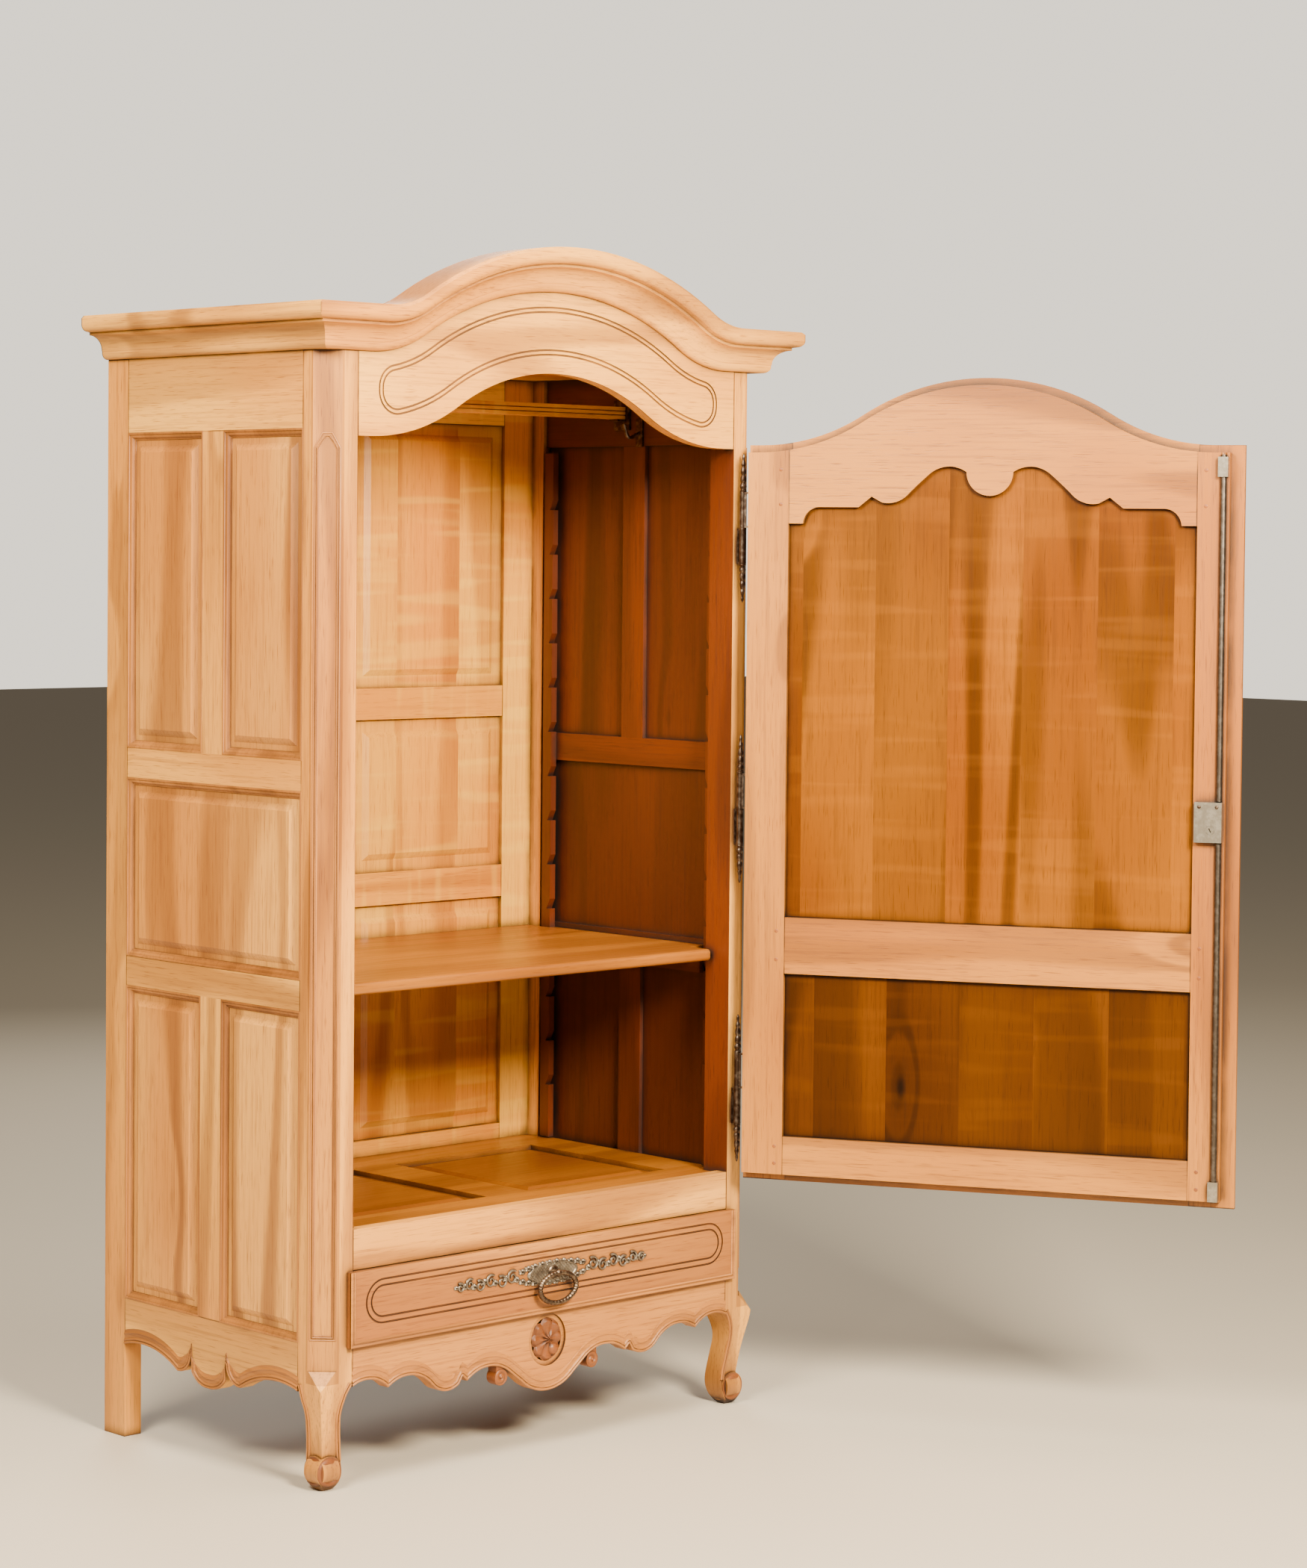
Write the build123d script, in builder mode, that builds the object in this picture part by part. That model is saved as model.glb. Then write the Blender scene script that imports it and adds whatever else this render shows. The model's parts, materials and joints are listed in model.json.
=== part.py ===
from build123d import *
import math
import os

# Single-door armoire with an arched cornice, a drawer and an open-plan interior.
# Millimetres. X runs to the right, +Y runs from the front to the back, +Z is up.
# The origin is on the floor, under the middle of the carcass. The door stands open.

# ---------------------------------------------------------------- driving sizes
body_width = 1056
body_depth = 634

post_width = 70
post_depth = 62
corner_cant = 36
cant_stop_height = 214
cant_run_out = 34
cant_tip_size = 1
cant_panel_width = 40
cant_panel_depth = 2.5
cant_panel_bottom = 268
cant_panel_top_drop = 23
cant_panel_point = 24
rear_post_width = 37
rear_post_depth = 62

leg_height = 190
leg_shoulder_drop = 6
volute_radius = 27
volute_height = 34
volute_inset = 16
volute_depth = 36
front_volute_across = 33
side_volute_across = 36

opening_top = 1829
frieze_height = 146
crown_radius = 430
arch_rise = 124
arch_half_span = 429
frieze_thickness = 25
frieze_groove_width = 3.5
frieze_groove_depth = 2
frieze_groove_gap = 8
frieze_groove_low = 32
frieze_groove_high = 120
frieze_groove_end = 46

sill_top = 454
sill_bottom = 384
drawer_opening_bottom = 262
front_rail_thickness = 25

side_thickness = 28
side_top_rail_height = 134
side_upper_rail_top = 1268
side_upper_rail_bottom = 1214
side_lower_rail_top = 887
side_lower_rail_bottom = 834
side_bottom_rail_top = 257
side_muntin_width = 60
panel_plate = 10
panel_setback = 9
panel_field_rise = 7
panel_field_margin = 24
panel_field_bevel = 12

cornice_back = 25
cornice_overhang = 60
cornice_height = 78
cornice_bead = 14
cornice_step = 42

roof_thickness = 16

back_thickness = 24
back_inset = 5
back_stile_width = 75
back_muntin_width = 72
back_bottom_rail_bottom = 250
back_bottom_rail_top = 480
back_lower_rail = (939, 1003)
back_upper_rail = (1302, 1363)
back_top_rail_height = 92

floor_step = 4
floor_thickness = 20
floor_front_rail = 90
floor_back_rail = 108
floor_stile = 96
floor_muntin = 100

rack_width = 25
rack_thickness = 14
rack_floor_gap = 2
rack_top_gap = 11
rack_notch_pitch = 89
rack_notch_depth = 10
rack_notch_height = 20
rack_notch_count = 14
rack_notches_below_shelf = 3
shelf_top = 877
shelf_thickness = 22
shelf_front = 40
shelf_side_clearance = 3
shelf_post_clearance = 10
cleat_width = 24
cleat_height = 30
cleat_tenon = 8
cleat_tenon_height = 3

hang_rail_depth = 350
hang_rail_drop = 70
hang_rail_size = 24
rail_groove_half = 1
rail_groove_depth = 2
hook_depth = 300
hook_drop = 109
hook_dip_reach = 34
hook_dip = 14
hook_tip_reach = 44
hook_rise = 16
hook_bend = 11

hinge_inset = 12
hinge_standoff = 14.5
hinge_barrel_radius = 7
hinge_pin_radius = 4
hinge_pin_clearance = 0.05
hinge_knuckle_length = 68
hinge_finial_length = 74
hinge_gap = 0.4
hinge_top_drop = 149
hinge_bottom_middle = 615
hinge_bore_end = 4
hinge_pin_end = 6
hinge_finial_taper = 4
hinge_leaf = 3
door_open_angle = 118
door_gap = 5
door_free_gap = 3
door_lip_overlap = 22
door_hinge_step = 3
door_edge_overlap = 7
door_edge_gap = 7
door_lip_thickness = 11
door_lip_gap = 1
door_inner_thickness = 21
door_stile_width = 82
door_bottom_rail_top = 533
door_mid_rail = (842, 948)
door_head_drop = 140
door_panel_thickness = 12
door_panel_recess = 10

lock_width = 50
lock_height = 73
lock_thickness = 14
lock_middle = 1153
lock_edge_distance = 53
lock_rod_gap = 2
rod_radius = 6
rod_channel_clearance = 0.3
rod_inset = 10
rod_sink = 3
rod_top_gap = 11
rod_bottom_gap = 7
strike_clearance = 0.5
strike_depth = 16
rod_guide_clearance = 0.5
guide_reach = 9
guide_length = 36
guide_cover = 3
guide_top_gap = 4
guide_bottom_gap = 2
cam_radius = 8
cam_clearance = 0.3
cam_thickness = 3
cam_drop = 14
cam_shift = 4
escutcheon_height = 90
escutcheon_width = 30
escutcheon_thickness = 2

drawer_lip = 13
drawer_lip_thickness = 12
drawer_front_gap = 2
drawer_front_thickness = 16
drawer_back_gap = 85
drawer_side_thickness = 14
drawer_side_height = 96
drawer_bottom_thickness = 8
drawer_side_gap = 6
drawer_groove_height = 80
drawer_groove_inset = 33
drawer_groove_middle = 325
drawer_groove_spacing = 11
drawer_stop_gap = 1
runner_width = 70
runner_thickness = 18
runner_gap = 2
plate_length = 470
plate_height = 40
plate_thickness = 2
plate_middle_height = 324
plate_end_half = 6
plate_hole_reach = 90
plate_hole_half = 16
ring_half_width = 44
ring_half_height = 27
ring_wire = 5
ring_clearance = 0.06
pivot_radius = 3
pivot_reach = 2.5
post_radius = 6
post_reach = 20
post_rose = 12
post_rose_thickness = 3

rosette_height = 198
rosette_pocket_depth = 4
rosette_radius = 37
rosette_rise = 3
rosette_thickness = 7
rosette_border = 8
drop_reach = 112
drop_radius = 15
drop_height = 145
drop_thickness = 22
drop_setback = 1
drop_neck = (16, 18)
drop_neck_shift = 3
drop_neck_height = 158

# ---------------------------------------------------------------- worked out
cornice_seat = opening_top + frieze_height
half_width = body_width / 2
front = -body_depth / 2
rear = body_depth / 2
opening_half = half_width - post_width
side_front = front + post_depth
side_rear = rear - rear_post_depth
side_middle = (side_front + side_rear) / 2
muntin_front = side_middle - side_muntin_width / 2
muntin_rear = side_middle + side_muntin_width / 2
inner_half = half_width - side_thickness
back_outer = rear - back_inset
back_inner = back_outer - back_thickness
arch_turn = 2 * math.atan(arch_rise / arch_half_span)
arch_sum = arch_half_span / math.sin(arch_turn)
crown_centre = opening_top + arch_rise - crown_radius
shoulder_centre = opening_top + arch_sum - crown_radius
floor_top = sill_top - floor_step
rack_bottom = floor_top + rack_floor_gap
cant_panel_top = opening_top - cant_panel_top_drop
side_top_rail_bottom = cornice_seat - side_top_rail_height
back_top_rail_bottom = cornice_seat - back_top_rail_height
rack_top = side_top_rail_bottom - rack_top_gap
hang_rail_height = cornice_seat - hang_rail_drop
hook_height = cornice_seat - hook_drop
rod_top = opening_top - rod_top_gap
rod_bottom = sill_top + rod_bottom_gap
door_upper_opening = opening_top - door_head_drop
hinge_top_middle = opening_top - hinge_top_drop
hinge_middles = (hinge_top_middle, (hinge_top_middle + hinge_bottom_middle) / 2, hinge_bottom_middle)
side_half = (side_rear - side_front) / 2
clip_height = 3 * body_width
cut_past = 1
field_taper = math.degrees(math.atan(panel_field_bevel / panel_field_rise))
bean_end_flat = 3

hinge_x = opening_half + hinge_inset
hinge_y = front - hinge_standoff
door_turn = math.radians(door_open_angle)
door_along = (-math.cos(door_turn), -math.sin(door_turn), 0)
door_inward = (-math.sin(door_turn), math.cos(door_turn), 0)
door_plane = Plane(origin=(hinge_x, hinge_y, 0), x_dir=door_along, z_dir=door_inward)
door_hinge_edge = hinge_inset + door_gap
door_free_edge = hinge_inset + 2 * opening_half + door_lip_overlap
door_block_edge = hinge_inset + 2 * opening_half - door_free_gap
door_middle = hinge_inset + opening_half
door_outer_face = hinge_standoff - door_lip_gap - door_lip_thickness
door_step = hinge_standoff - door_lip_gap
door_inner_face = door_step + door_inner_thickness
panel_left = door_hinge_edge + door_stile_width
panel_right = door_free_edge - door_stile_width
panel_middle = (panel_left + panel_right) / 2
rod_s = door_block_edge - rod_inset
rod_off = door_inner_face + rod_radius - rod_sink

os.makedirs("parts", exist_ok=True)


def finish(piece, name):
    """Label a finished piece and write its STEP file."""
    piece.part.label = name
    export_step(piece.part, f"parts/{name}.step")


def board(low, high, mode=Mode.ADD):
    """Add a board between two opposite corners, given in any order."""
    sizes = [abs(b - a) for a, b in zip(low, high)]
    middle = tuple((a + b) / 2 for a, b in zip(low, high))
    with Locations(middle):
        Box(*sizes, mode=mode)


def raised_panel(plane, middle, length, height):
    """Add a panel behind a plane's face, with a bevelled field that stands up on it."""
    with BuildSketch(plane) as plate:
        with Locations(middle):
            Rectangle(length, height)
    extrude(plate.sketch, amount=-panel_plate)
    with BuildSketch(plane) as field:
        with Locations(middle):
            Rectangle(length - 2 * panel_field_margin, height - 2 * panel_field_margin)
    extrude(field.sketch, amount=panel_field_rise, taper=field_taper)


def front_plane(y):
    """A vertical plane that faces the front, whose x is X and whose y is Z."""
    return Plane(origin=(0, y, 0), x_dir=(1, 0, 0), z_dir=(0, -1, 0))


def side_plane(x, side):
    """A vertical plane that faces out of one side: x runs along the depth, y is Z."""
    return Plane(origin=(x, 0, 0), x_dir=(0, side, 0), z_dir=(side, 0, 0))


def arch_edge(level, reach, middle=0):
    """Draw the cornice curve at one height above the opening, from -reach to +reach."""
    flat = opening_top + level
    crown = crown_radius + level
    shoulder = arch_sum - crown
    half_turn = arch_turn / 2
    for side in (-1, 1):
        foot = (middle + side * arch_half_span, flat)
        turn = (middle + side * crown * math.sin(arch_turn), crown_centre + crown * math.cos(arch_turn))
        bend = (
            middle + side * (arch_half_span - shoulder * math.sin(half_turn)),
            shoulder_centre - shoulder * math.cos(half_turn),
        )
        Line((middle + side * reach, flat), foot)
        ThreePointArc(foot, bend, turn)
    left = (middle - crown * math.sin(arch_turn), crown_centre + crown * math.cos(arch_turn))
    right = (middle + crown * math.sin(arch_turn), crown_centre + crown * math.cos(arch_turn))
    ThreePointArc(left, (middle, crown_centre + crown), right)


def arch_band(plane, low, high, reach, middle=0):
    """The face between two levels of the cornice curve."""
    with BuildSketch(plane) as band:
        with BuildLine():
            arch_edge(low, reach, middle)
            arch_edge(high, reach, middle)
            for side in (-1, 1):
                end = middle + side * reach
                Line((end, opening_top + low), (end, opening_top + high))
        make_face()
    return band.sketch


def bean(plane, low, high, reach):
    """A round-ended face that follows a band of the cornice curve."""
    with BuildSketch(plane) as shape:
        with BuildLine():
            arch_edge(low, opening_half)
            arch_edge(high, opening_half)
            for side in (-1, 1):
                Line((side * opening_half, opening_top + low), (side * opening_half, opening_top + high))
        make_face()
        with Locations((0, opening_top)):
            Rectangle(2 * reach, clip_height, mode=Mode.INTERSECT)
        ends = shape.vertices().filter_by(lambda corner: abs(corner.X) > reach - cut_past)
        fillet(ends, radius=(high - low) / 2 - bean_end_flat)
    return shape.sketch


def mirrored_run(runs, middle=0):
    """Draw straight and round runs, each given as its points, and their mirror image."""
    for side in (-1, 1):
        for run in runs:
            places = [(middle + side * across, up) for across, up in run]
            if len(places) == 2:
                Line(*places)
            else:
                ThreePointArc(*places)


def shaped_edge(runs, top, middle=0):
    """Draw a rail's outline: a straight top edge above a shaped, mirrored lower edge."""
    mirrored_run(runs, middle)
    reach, low = runs[-1][-1]
    for side in (-1, 1):
        Line((middle + side * reach, low), (middle + side * reach, top))
    Line((middle - reach, top), (middle + reach, top))


# ---------------------------------------------------------------- front posts and legs
leg_outer = [(0, leg_height), (4, 157), (10, 128), (15, 99), (19, 69), (20, 46), (15, 22), (20, 6), (26, 0)]
leg_inner = [(58, 163), (52, 135), (55, 103), (60, 69), (62, 42), (56, 16), (44, 0)]


def leg_profile(plane, reach):
    """One face view of the leg, measured in from the outer corner of the carcass."""
    inner = [(reach, leg_height - leg_shoulder_drop), *leg_inner]
    with BuildSketch(plane) as profile:
        with BuildLine():
            Spline(*leg_outer)
            Line(leg_outer[-1], inner[-1])
            Spline(*inner)
            Line(inner[0], (reach, leg_height))
            Line((reach, leg_height), leg_outer[0])
        make_face()
    return profile.sketch


leg_corner = Plane(origin=(-half_width, front, 0))
leg_front_face = Plane(origin=(-half_width, front, 0), x_dir=(1, 0, 0), z_dir=(0, -1, 0))
leg_side_face = Plane(origin=(-half_width, front, 0), x_dir=(0, 1, 0), z_dir=(1, 0, 0))

with BuildPart() as front_left_post:
    extrude(leg_profile(leg_front_face, post_width), amount=-post_width)
    extrude(leg_profile(leg_side_face, post_depth), amount=post_width, mode=Mode.INTERSECT)
    for face, across, way in (
        (leg_front_face.offset(-volute_inset), front_volute_across, -1),
        (leg_side_face.offset(volute_inset), side_volute_across, 1),
    ):
        with BuildSketch(face):
            with Locations((across, volute_height)):
                Circle(volute_radius)
        extrude(amount=way * volute_depth)
    with BuildSketch(leg_corner.offset(leg_height)):
        Rectangle(post_width, post_depth, align=(Align.MIN, Align.MIN))
    extrude(amount=cornice_seat - leg_height)
    with BuildSketch(leg_corner.offset(cant_stop_height)):
        Polygon((0, 0), (corner_cant, 0), (0, corner_cant), align=None)
    extrude(amount=cornice_seat - cant_stop_height, mode=Mode.SUBTRACT)
    with BuildSketch(leg_corner.offset(cant_stop_height)) as cant_foot:
        Polygon((0, 0), (corner_cant, 0), (0, corner_cant), align=None)
    with BuildSketch(leg_corner.offset(cant_stop_height - cant_run_out)) as cant_tip:
        Polygon((0, 0), (cant_tip_size, 0), (0, cant_tip_size), align=None)
    loft([cant_foot.sketch, cant_tip.sketch], mode=Mode.SUBTRACT)
    cant_face = Plane(
        origin=(-half_width + corner_cant / 2, front + corner_cant / 2, 0),
        x_dir=(1, -1, 0),
        z_dir=(-1, -1, 0),
    )
    with BuildSketch(cant_face):
        with BuildLine():
            half_panel = cant_panel_width / 2
            Line((-half_panel, cant_panel_bottom), (half_panel, cant_panel_bottom))
            Line((half_panel, cant_panel_bottom), (half_panel, cant_panel_top))
            Line((half_panel, cant_panel_top), (0, cant_panel_top + cant_panel_point))
            Line((0, cant_panel_top + cant_panel_point), (-half_panel, cant_panel_top))
            Line((-half_panel, cant_panel_top), (-half_panel, cant_panel_bottom))
        make_face()
    extrude(amount=-cant_panel_depth, mode=Mode.SUBTRACT)
finish(front_left_post, "front_left_post")

with BuildPart() as front_right_post:
    add(mirror(front_left_post.part, about=Plane.YZ))
finish(front_right_post, "front_right_post")

# ---------------------------------------------------------------- sides
side_apron_runs = [
    [(0, 133), (26, 137), (50, 156)],
    [(50, 156), (51, 186)],
    [(51, 186), (66, 158), (92, 150)],
    [(92, 150), ((92 + side_half) / 2, 178), (side_half, 172)],
]
side_bays = (
    (side_front, muntin_front),
    (muntin_rear, side_rear),
)

for side_name, side in (("left", -1), ("right", 1)):
    outside = side * half_width
    inside = side * inner_half
    panel_face = side_plane(outside - side * panel_setback, side)

    with BuildPart() as rear_post:
        board((outside, side_rear, 0), (outside - side * rear_post_width, rear, cornice_seat))
    finish(rear_post, f"rear_{side_name}_post")

    with BuildPart() as top_rail:
        board((outside, side_front, side_top_rail_bottom), (inside, side_rear, cornice_seat))
    finish(top_rail, f"{side_name}_side_top_rail")

    with BuildPart() as mid_rails:
        for low, high in (
            (side_upper_rail_bottom, side_upper_rail_top),
            (side_lower_rail_bottom, side_lower_rail_top),
        ):
            board((outside, side_front, low), (inside, side_rear, high))
    finish(mid_rails, f"{side_name}_side_mid_rails")

    with BuildPart() as muntins:
        for low, high in (
            (side_upper_rail_top, side_top_rail_bottom),
            (side_bottom_rail_top, side_lower_rail_bottom),
        ):
            board((outside, muntin_front, low), (inside, muntin_rear, high))
    finish(muntins, f"{side_name}_side_muntins")

    with BuildPart() as side_apron:
        with BuildSketch(side_plane(outside, side)):
            with BuildLine():
                shaped_edge(side_apron_runs, side_bottom_rail_top, side * side_middle)
            make_face()
        extrude(amount=-side_thickness)
    finish(side_apron, f"{side_name}_side_apron")

    with BuildPart() as upper_panels:
        for near, far in side_bays:
            middle = (side * (near + far) / 2, (side_upper_rail_top + side_top_rail_bottom) / 2)
            raised_panel(panel_face, middle, far - near, side_top_rail_bottom - side_upper_rail_top)
    finish(upper_panels, f"{side_name}_upper_panels")

    with BuildPart() as lower_panels:
        middle = (side * side_middle, (side_lower_rail_top + side_upper_rail_bottom) / 2)
        raised_panel(panel_face, middle, side_rear - side_front, side_upper_rail_bottom - side_lower_rail_top)
        for near, far in side_bays:
            middle = (side * (near + far) / 2, (side_bottom_rail_top + side_lower_rail_bottom) / 2)
            raised_panel(panel_face, middle, far - near, side_lower_rail_bottom - side_bottom_rail_top)
    finish(lower_panels, f"{side_name}_lower_panels")

# ---------------------------------------------------------------- front
strike_x = hinge_x - rod_s
strike_y = hinge_y + rod_off
strike_radius = rod_radius + strike_clearance

with BuildPart() as frieze:
    extrude(arch_band(front_plane(front), 0, frieze_height, opening_half), amount=-frieze_thickness)
    for inset, step in ((0, 0), (0, 1), (1, 0), (1, 1)):
        shrink = inset * frieze_groove_gap + step * frieze_groove_width
        shape = bean(
            front_plane(front),
            frieze_groove_low + shrink,
            frieze_groove_high - shrink,
            opening_half - frieze_groove_end - shrink,
        )
        extrude(shape, amount=-frieze_groove_depth, mode=Mode.ADD if step else Mode.SUBTRACT)
    with BuildSketch(Plane.XY.offset(opening_top)):
        with Locations((strike_x, strike_y)):
            Circle(strike_radius)
    extrude(amount=strike_depth, mode=Mode.SUBTRACT)
finish(frieze, "frieze")

with BuildPart() as sill_rail:
    board((-opening_half, front, sill_bottom), (opening_half, front + front_rail_thickness, sill_top))
    with BuildSketch(Plane.XY.offset(sill_top)):
        with Locations((strike_x, strike_y)):
            Circle(strike_radius)
    extrude(amount=-strike_depth, mode=Mode.SUBTRACT)
finish(sill_rail, "sill_rail")

front_apron_runs = [
    [(0, 105), (36, 112), (64, 130)],
    [(64, 130), (90, 150)],
    [(90, 150), (140, 169), (194, 151)],
    [(194, 151), (205, 161)],
    [(205, 161), (213, 148)],
    [(213, 148), (243, 140), (276, 156)],
    [(276, 156), (336, 181), (377, 167)],
    [(377, 167), (418, 187), (opening_half, 180)],
]

with BuildPart() as front_apron:
    with BuildSketch(front_plane(front)):
        with BuildLine():
            shaped_edge(front_apron_runs, drawer_opening_bottom)
        make_face()
    extrude(amount=-front_rail_thickness)
    with BuildSketch(front_plane(front)):
        with Locations((0, rosette_height)):
            Ellipse(rosette_radius + rosette_border, rosette_radius + rosette_border + rosette_rise)
    extrude(amount=-rosette_pocket_depth, mode=Mode.SUBTRACT)
finish(front_apron, "front_apron")

with BuildPart() as rosette:
    with BuildSketch(front_plane(front + rosette_pocket_depth)):
        with Locations((0, rosette_height)):
            Ellipse(rosette_radius, rosette_radius + rosette_rise)
    extrude(amount=rosette_thickness)
    fillet(rosette.faces().sort_by(Axis.Y)[0].edges(), radius=rosette_thickness / 2)
finish(rosette, "rosette")

with BuildPart() as scroll_drops:
    for side in (-1, 1):
        with BuildSketch(front_plane(front + drop_setback)):
            with Locations((side * drop_reach, drop_height)):
                Circle(drop_radius)
            with Locations((side * (drop_reach + drop_neck_shift), drop_neck_height)):
                Rectangle(*drop_neck)
            with BuildLine():
                shaped_edge(front_apron_runs, drawer_opening_bottom)
            make_face(mode=Mode.SUBTRACT)
        extrude(amount=-drop_thickness)
finish(scroll_drops, "scroll_drops")

# ---------------------------------------------------------------- cornice and roof
cornice_run_past = half_width + cornice_overhang + cornice_back
cornice_section = [
    [(-cornice_back, 0), (4, 0)],
    [(4, 0), (12, 5), (cornice_bead, 14)],
    [(cornice_bead, 14), (15, 16)],
    [(15, 16), (23, 35), (cornice_step, 43)],
    [(cornice_step, 43), (cornice_step, 48)],
    [(cornice_step, 48), (52, 50)],
    [(52, 50), (58, 55), (cornice_overhang, 62)],
    [(cornice_overhang, 62), (cornice_overhang, 73)],
    [(cornice_overhang, 73), (55, cornice_height)],
    [(55, cornice_height), (-cornice_back, cornice_height)],
    [(-cornice_back, cornice_height), (-cornice_back, 0)],
]


def cornice_profile(plane):
    """The cornice section: x is how far it stands out, y is the height above its seat."""
    with BuildSketch(plane) as profile:
        with BuildLine():
            for run in cornice_section:
                if len(run) == 2:
                    Line(*run)
                else:
                    ThreePointArc(*run)
        make_face()
    return profile.sketch


with BuildPart() as cornice_front:
    with BuildLine(front_plane(front)) as cornice_path:
        arch_edge(frieze_height, cornice_run_past)
    start_plane = Plane(origin=(-cornice_run_past, front, cornice_seat), x_dir=(0, -1, 0), z_dir=(-1, 0, 0))
    sweep(cornice_profile(start_plane), path=cornice_path.wires()[0])
    for side in (-1, 1):
        mitre = Plane(origin=(side * half_width, front, 0), z_dir=(-side, -1, 0))
        split(bisect_by=mitre, keep=Keep.TOP)
finish(cornice_front, "cornice_front")

for side_name, side in (("left", -1), ("right", 1)):
    with BuildPart() as cornice_side:
        end_plane = Plane(
            origin=(side * half_width, rear, cornice_seat),
            x_dir=(side, 0, 0),
            z_dir=(0, -side, 0),
        )
        extrude(cornice_profile(end_plane), amount=side * (body_depth + cornice_overhang + cornice_back))
        mitre = Plane(origin=(side * half_width, front, 0), z_dir=(-side, -1, 0))
        split(bisect_by=mitre, keep=Keep.BOTTOM)
    finish(cornice_side, f"cornice_{side_name}")

with BuildPart() as roof:
    board(
        (-half_width + cornice_back, front + cornice_back, cornice_seat),
        (half_width - cornice_back, rear, cornice_seat + roof_thickness),
    )
finish(roof, "roof")

# ---------------------------------------------------------------- back
back_half = half_width - rear_post_width
back_stile_inner = back_half - back_stile_width
back_muntin_half = back_muntin_width / 2
back_rails_heights = (
    (back_bottom_rail_bottom, back_bottom_rail_top),
    back_lower_rail,
    back_upper_rail,
    (back_top_rail_bottom, cornice_seat),
)
back_rows = [
    (low[1], high[0]) for low, high in zip(back_rails_heights, back_rails_heights[1:])
]

with BuildPart() as back_uprights:
    for side in (-1, 1):
        board(
            (side * back_half, back_inner, back_bottom_rail_bottom),
            (side * back_stile_inner, back_outer, cornice_seat),
        )
    for low, high in back_rows:
        board((-back_muntin_half, back_inner, low), (back_muntin_half, back_outer, high))
finish(back_uprights, "back_uprights")

with BuildPart() as back_rails:
    for low, high in back_rails_heights:
        board((-back_stile_inner, back_inner, low), (back_stile_inner, back_outer, high))
finish(back_rails, "back_rails")

with BuildPart() as back_panels:
    for low, high in back_rows:
        for side in (-1, 1):
            middle = (side * (back_muntin_half + back_stile_inner) / 2, (low + high) / 2)
            raised_panel(
                front_plane(back_inner + panel_setback),
                middle,
                back_stile_inner - back_muntin_half,
                high - low,
            )
finish(back_panels, "back_panels")

# ---------------------------------------------------------------- floor
floor_low = floor_top - floor_thickness
floor_front = front + front_rail_thickness
floor_bay_front = floor_front + floor_front_rail
floor_bay_rear = back_inner - floor_back_rail
floor_bay_side = inner_half - floor_stile
floor_muntin_half = floor_muntin / 2
rear_post_inner = half_width - rear_post_width

with BuildPart() as floor_frame:
    board((-opening_half, floor_front, floor_low), (opening_half, side_front, floor_top))
    board((-inner_half, side_front, floor_low), (inner_half, floor_bay_front, floor_top))
    with BuildSketch(Plane.XY.offset(sill_top)):
        with Locations((strike_x, strike_y)):
            Circle(strike_radius)
    extrude(amount=-strike_depth, mode=Mode.SUBTRACT)
    board((-inner_half, floor_bay_rear, floor_low), (inner_half, side_rear, floor_top))
    board((-rear_post_inner, side_rear, floor_low), (rear_post_inner, back_inner, floor_top))
    board(
        (-floor_muntin_half, floor_bay_front, floor_low),
        (floor_muntin_half, floor_bay_rear, floor_top),
    )
    for side in (-1, 1):
        board(
            (side * inner_half, floor_bay_front, floor_low),
            (side * floor_bay_side, floor_bay_rear, floor_top),
        )
finish(floor_frame, "floor_frame")

with BuildPart() as floor_panels:
    for side in (-1, 1):
        middle = (side * (floor_muntin_half + floor_bay_side) / 2, (floor_bay_front + floor_bay_rear) / 2)
        raised_panel(
            Plane.XY.offset(floor_top - panel_setback),
            middle,
            floor_bay_side - floor_muntin_half,
            floor_bay_rear - floor_bay_front,
        )
finish(floor_panels, "floor_panels")

# ---------------------------------------------------------------- shelf and its racks
rack_offset = 10
front_rack = (side_front + rack_offset, side_front + rack_offset + rack_width)
rear_rack = (side_rear - rack_offset - rack_width, side_rear - rack_offset)
shelf_bottom = shelf_top - shelf_thickness

with BuildPart() as shelf_racks:
    for side in (-1, 1):
        for (near, far), edge, way in ((front_rack, front_rack[1], -1), (rear_rack, rear_rack[0], 1)):
            with BuildSketch(Plane(origin=(side * inner_half, 0, 0), x_dir=(0, 1, 0), z_dir=(1, 0, 0))):
                with Locations(((near + far) / 2, (rack_bottom + rack_top) / 2)):
                    Rectangle(rack_width, rack_top - rack_bottom)
                for step in range(rack_notch_count):
                    seat = shelf_bottom - cleat_height + (step - rack_notches_below_shelf) * rack_notch_pitch
                    if seat + rack_notch_height > rack_top:
                        continue
                    tooth = (
                        (edge, seat),
                        (edge + way * rack_notch_depth, seat),
                        (edge, seat + rack_notch_height),
                    )
                    Polygon(*tooth, align=None, mode=Mode.SUBTRACT)
            extrude(amount=-side * rack_thickness)
finish(shelf_racks, "shelf_racks")

with BuildPart() as shelf_cleats:
    for side in (-1, 1):
        cleat_seat = shelf_bottom - cleat_height
        board(
            (side * inner_half, front_rack[1], cleat_seat),
            (side * (inner_half - cleat_width), rear_rack[0], shelf_bottom),
        )
        board(
            (side * inner_half, front_rack[1] - cleat_tenon, cleat_seat),
            (side * (inner_half - rack_thickness), rear_rack[0] + cleat_tenon, cleat_seat + cleat_tenon_height),
        )
finish(shelf_cleats, "shelf_cleats")

shelf_wide = inner_half - shelf_side_clearance
shelf_narrow = inner_half - rack_thickness - shelf_side_clearance
shelf_mouth = opening_half - shelf_post_clearance
shelf_step_front = front_rack[1] + shelf_side_clearance
shelf_step_rear = rear_rack[0] - shelf_side_clearance
shelf_round = 8

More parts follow.
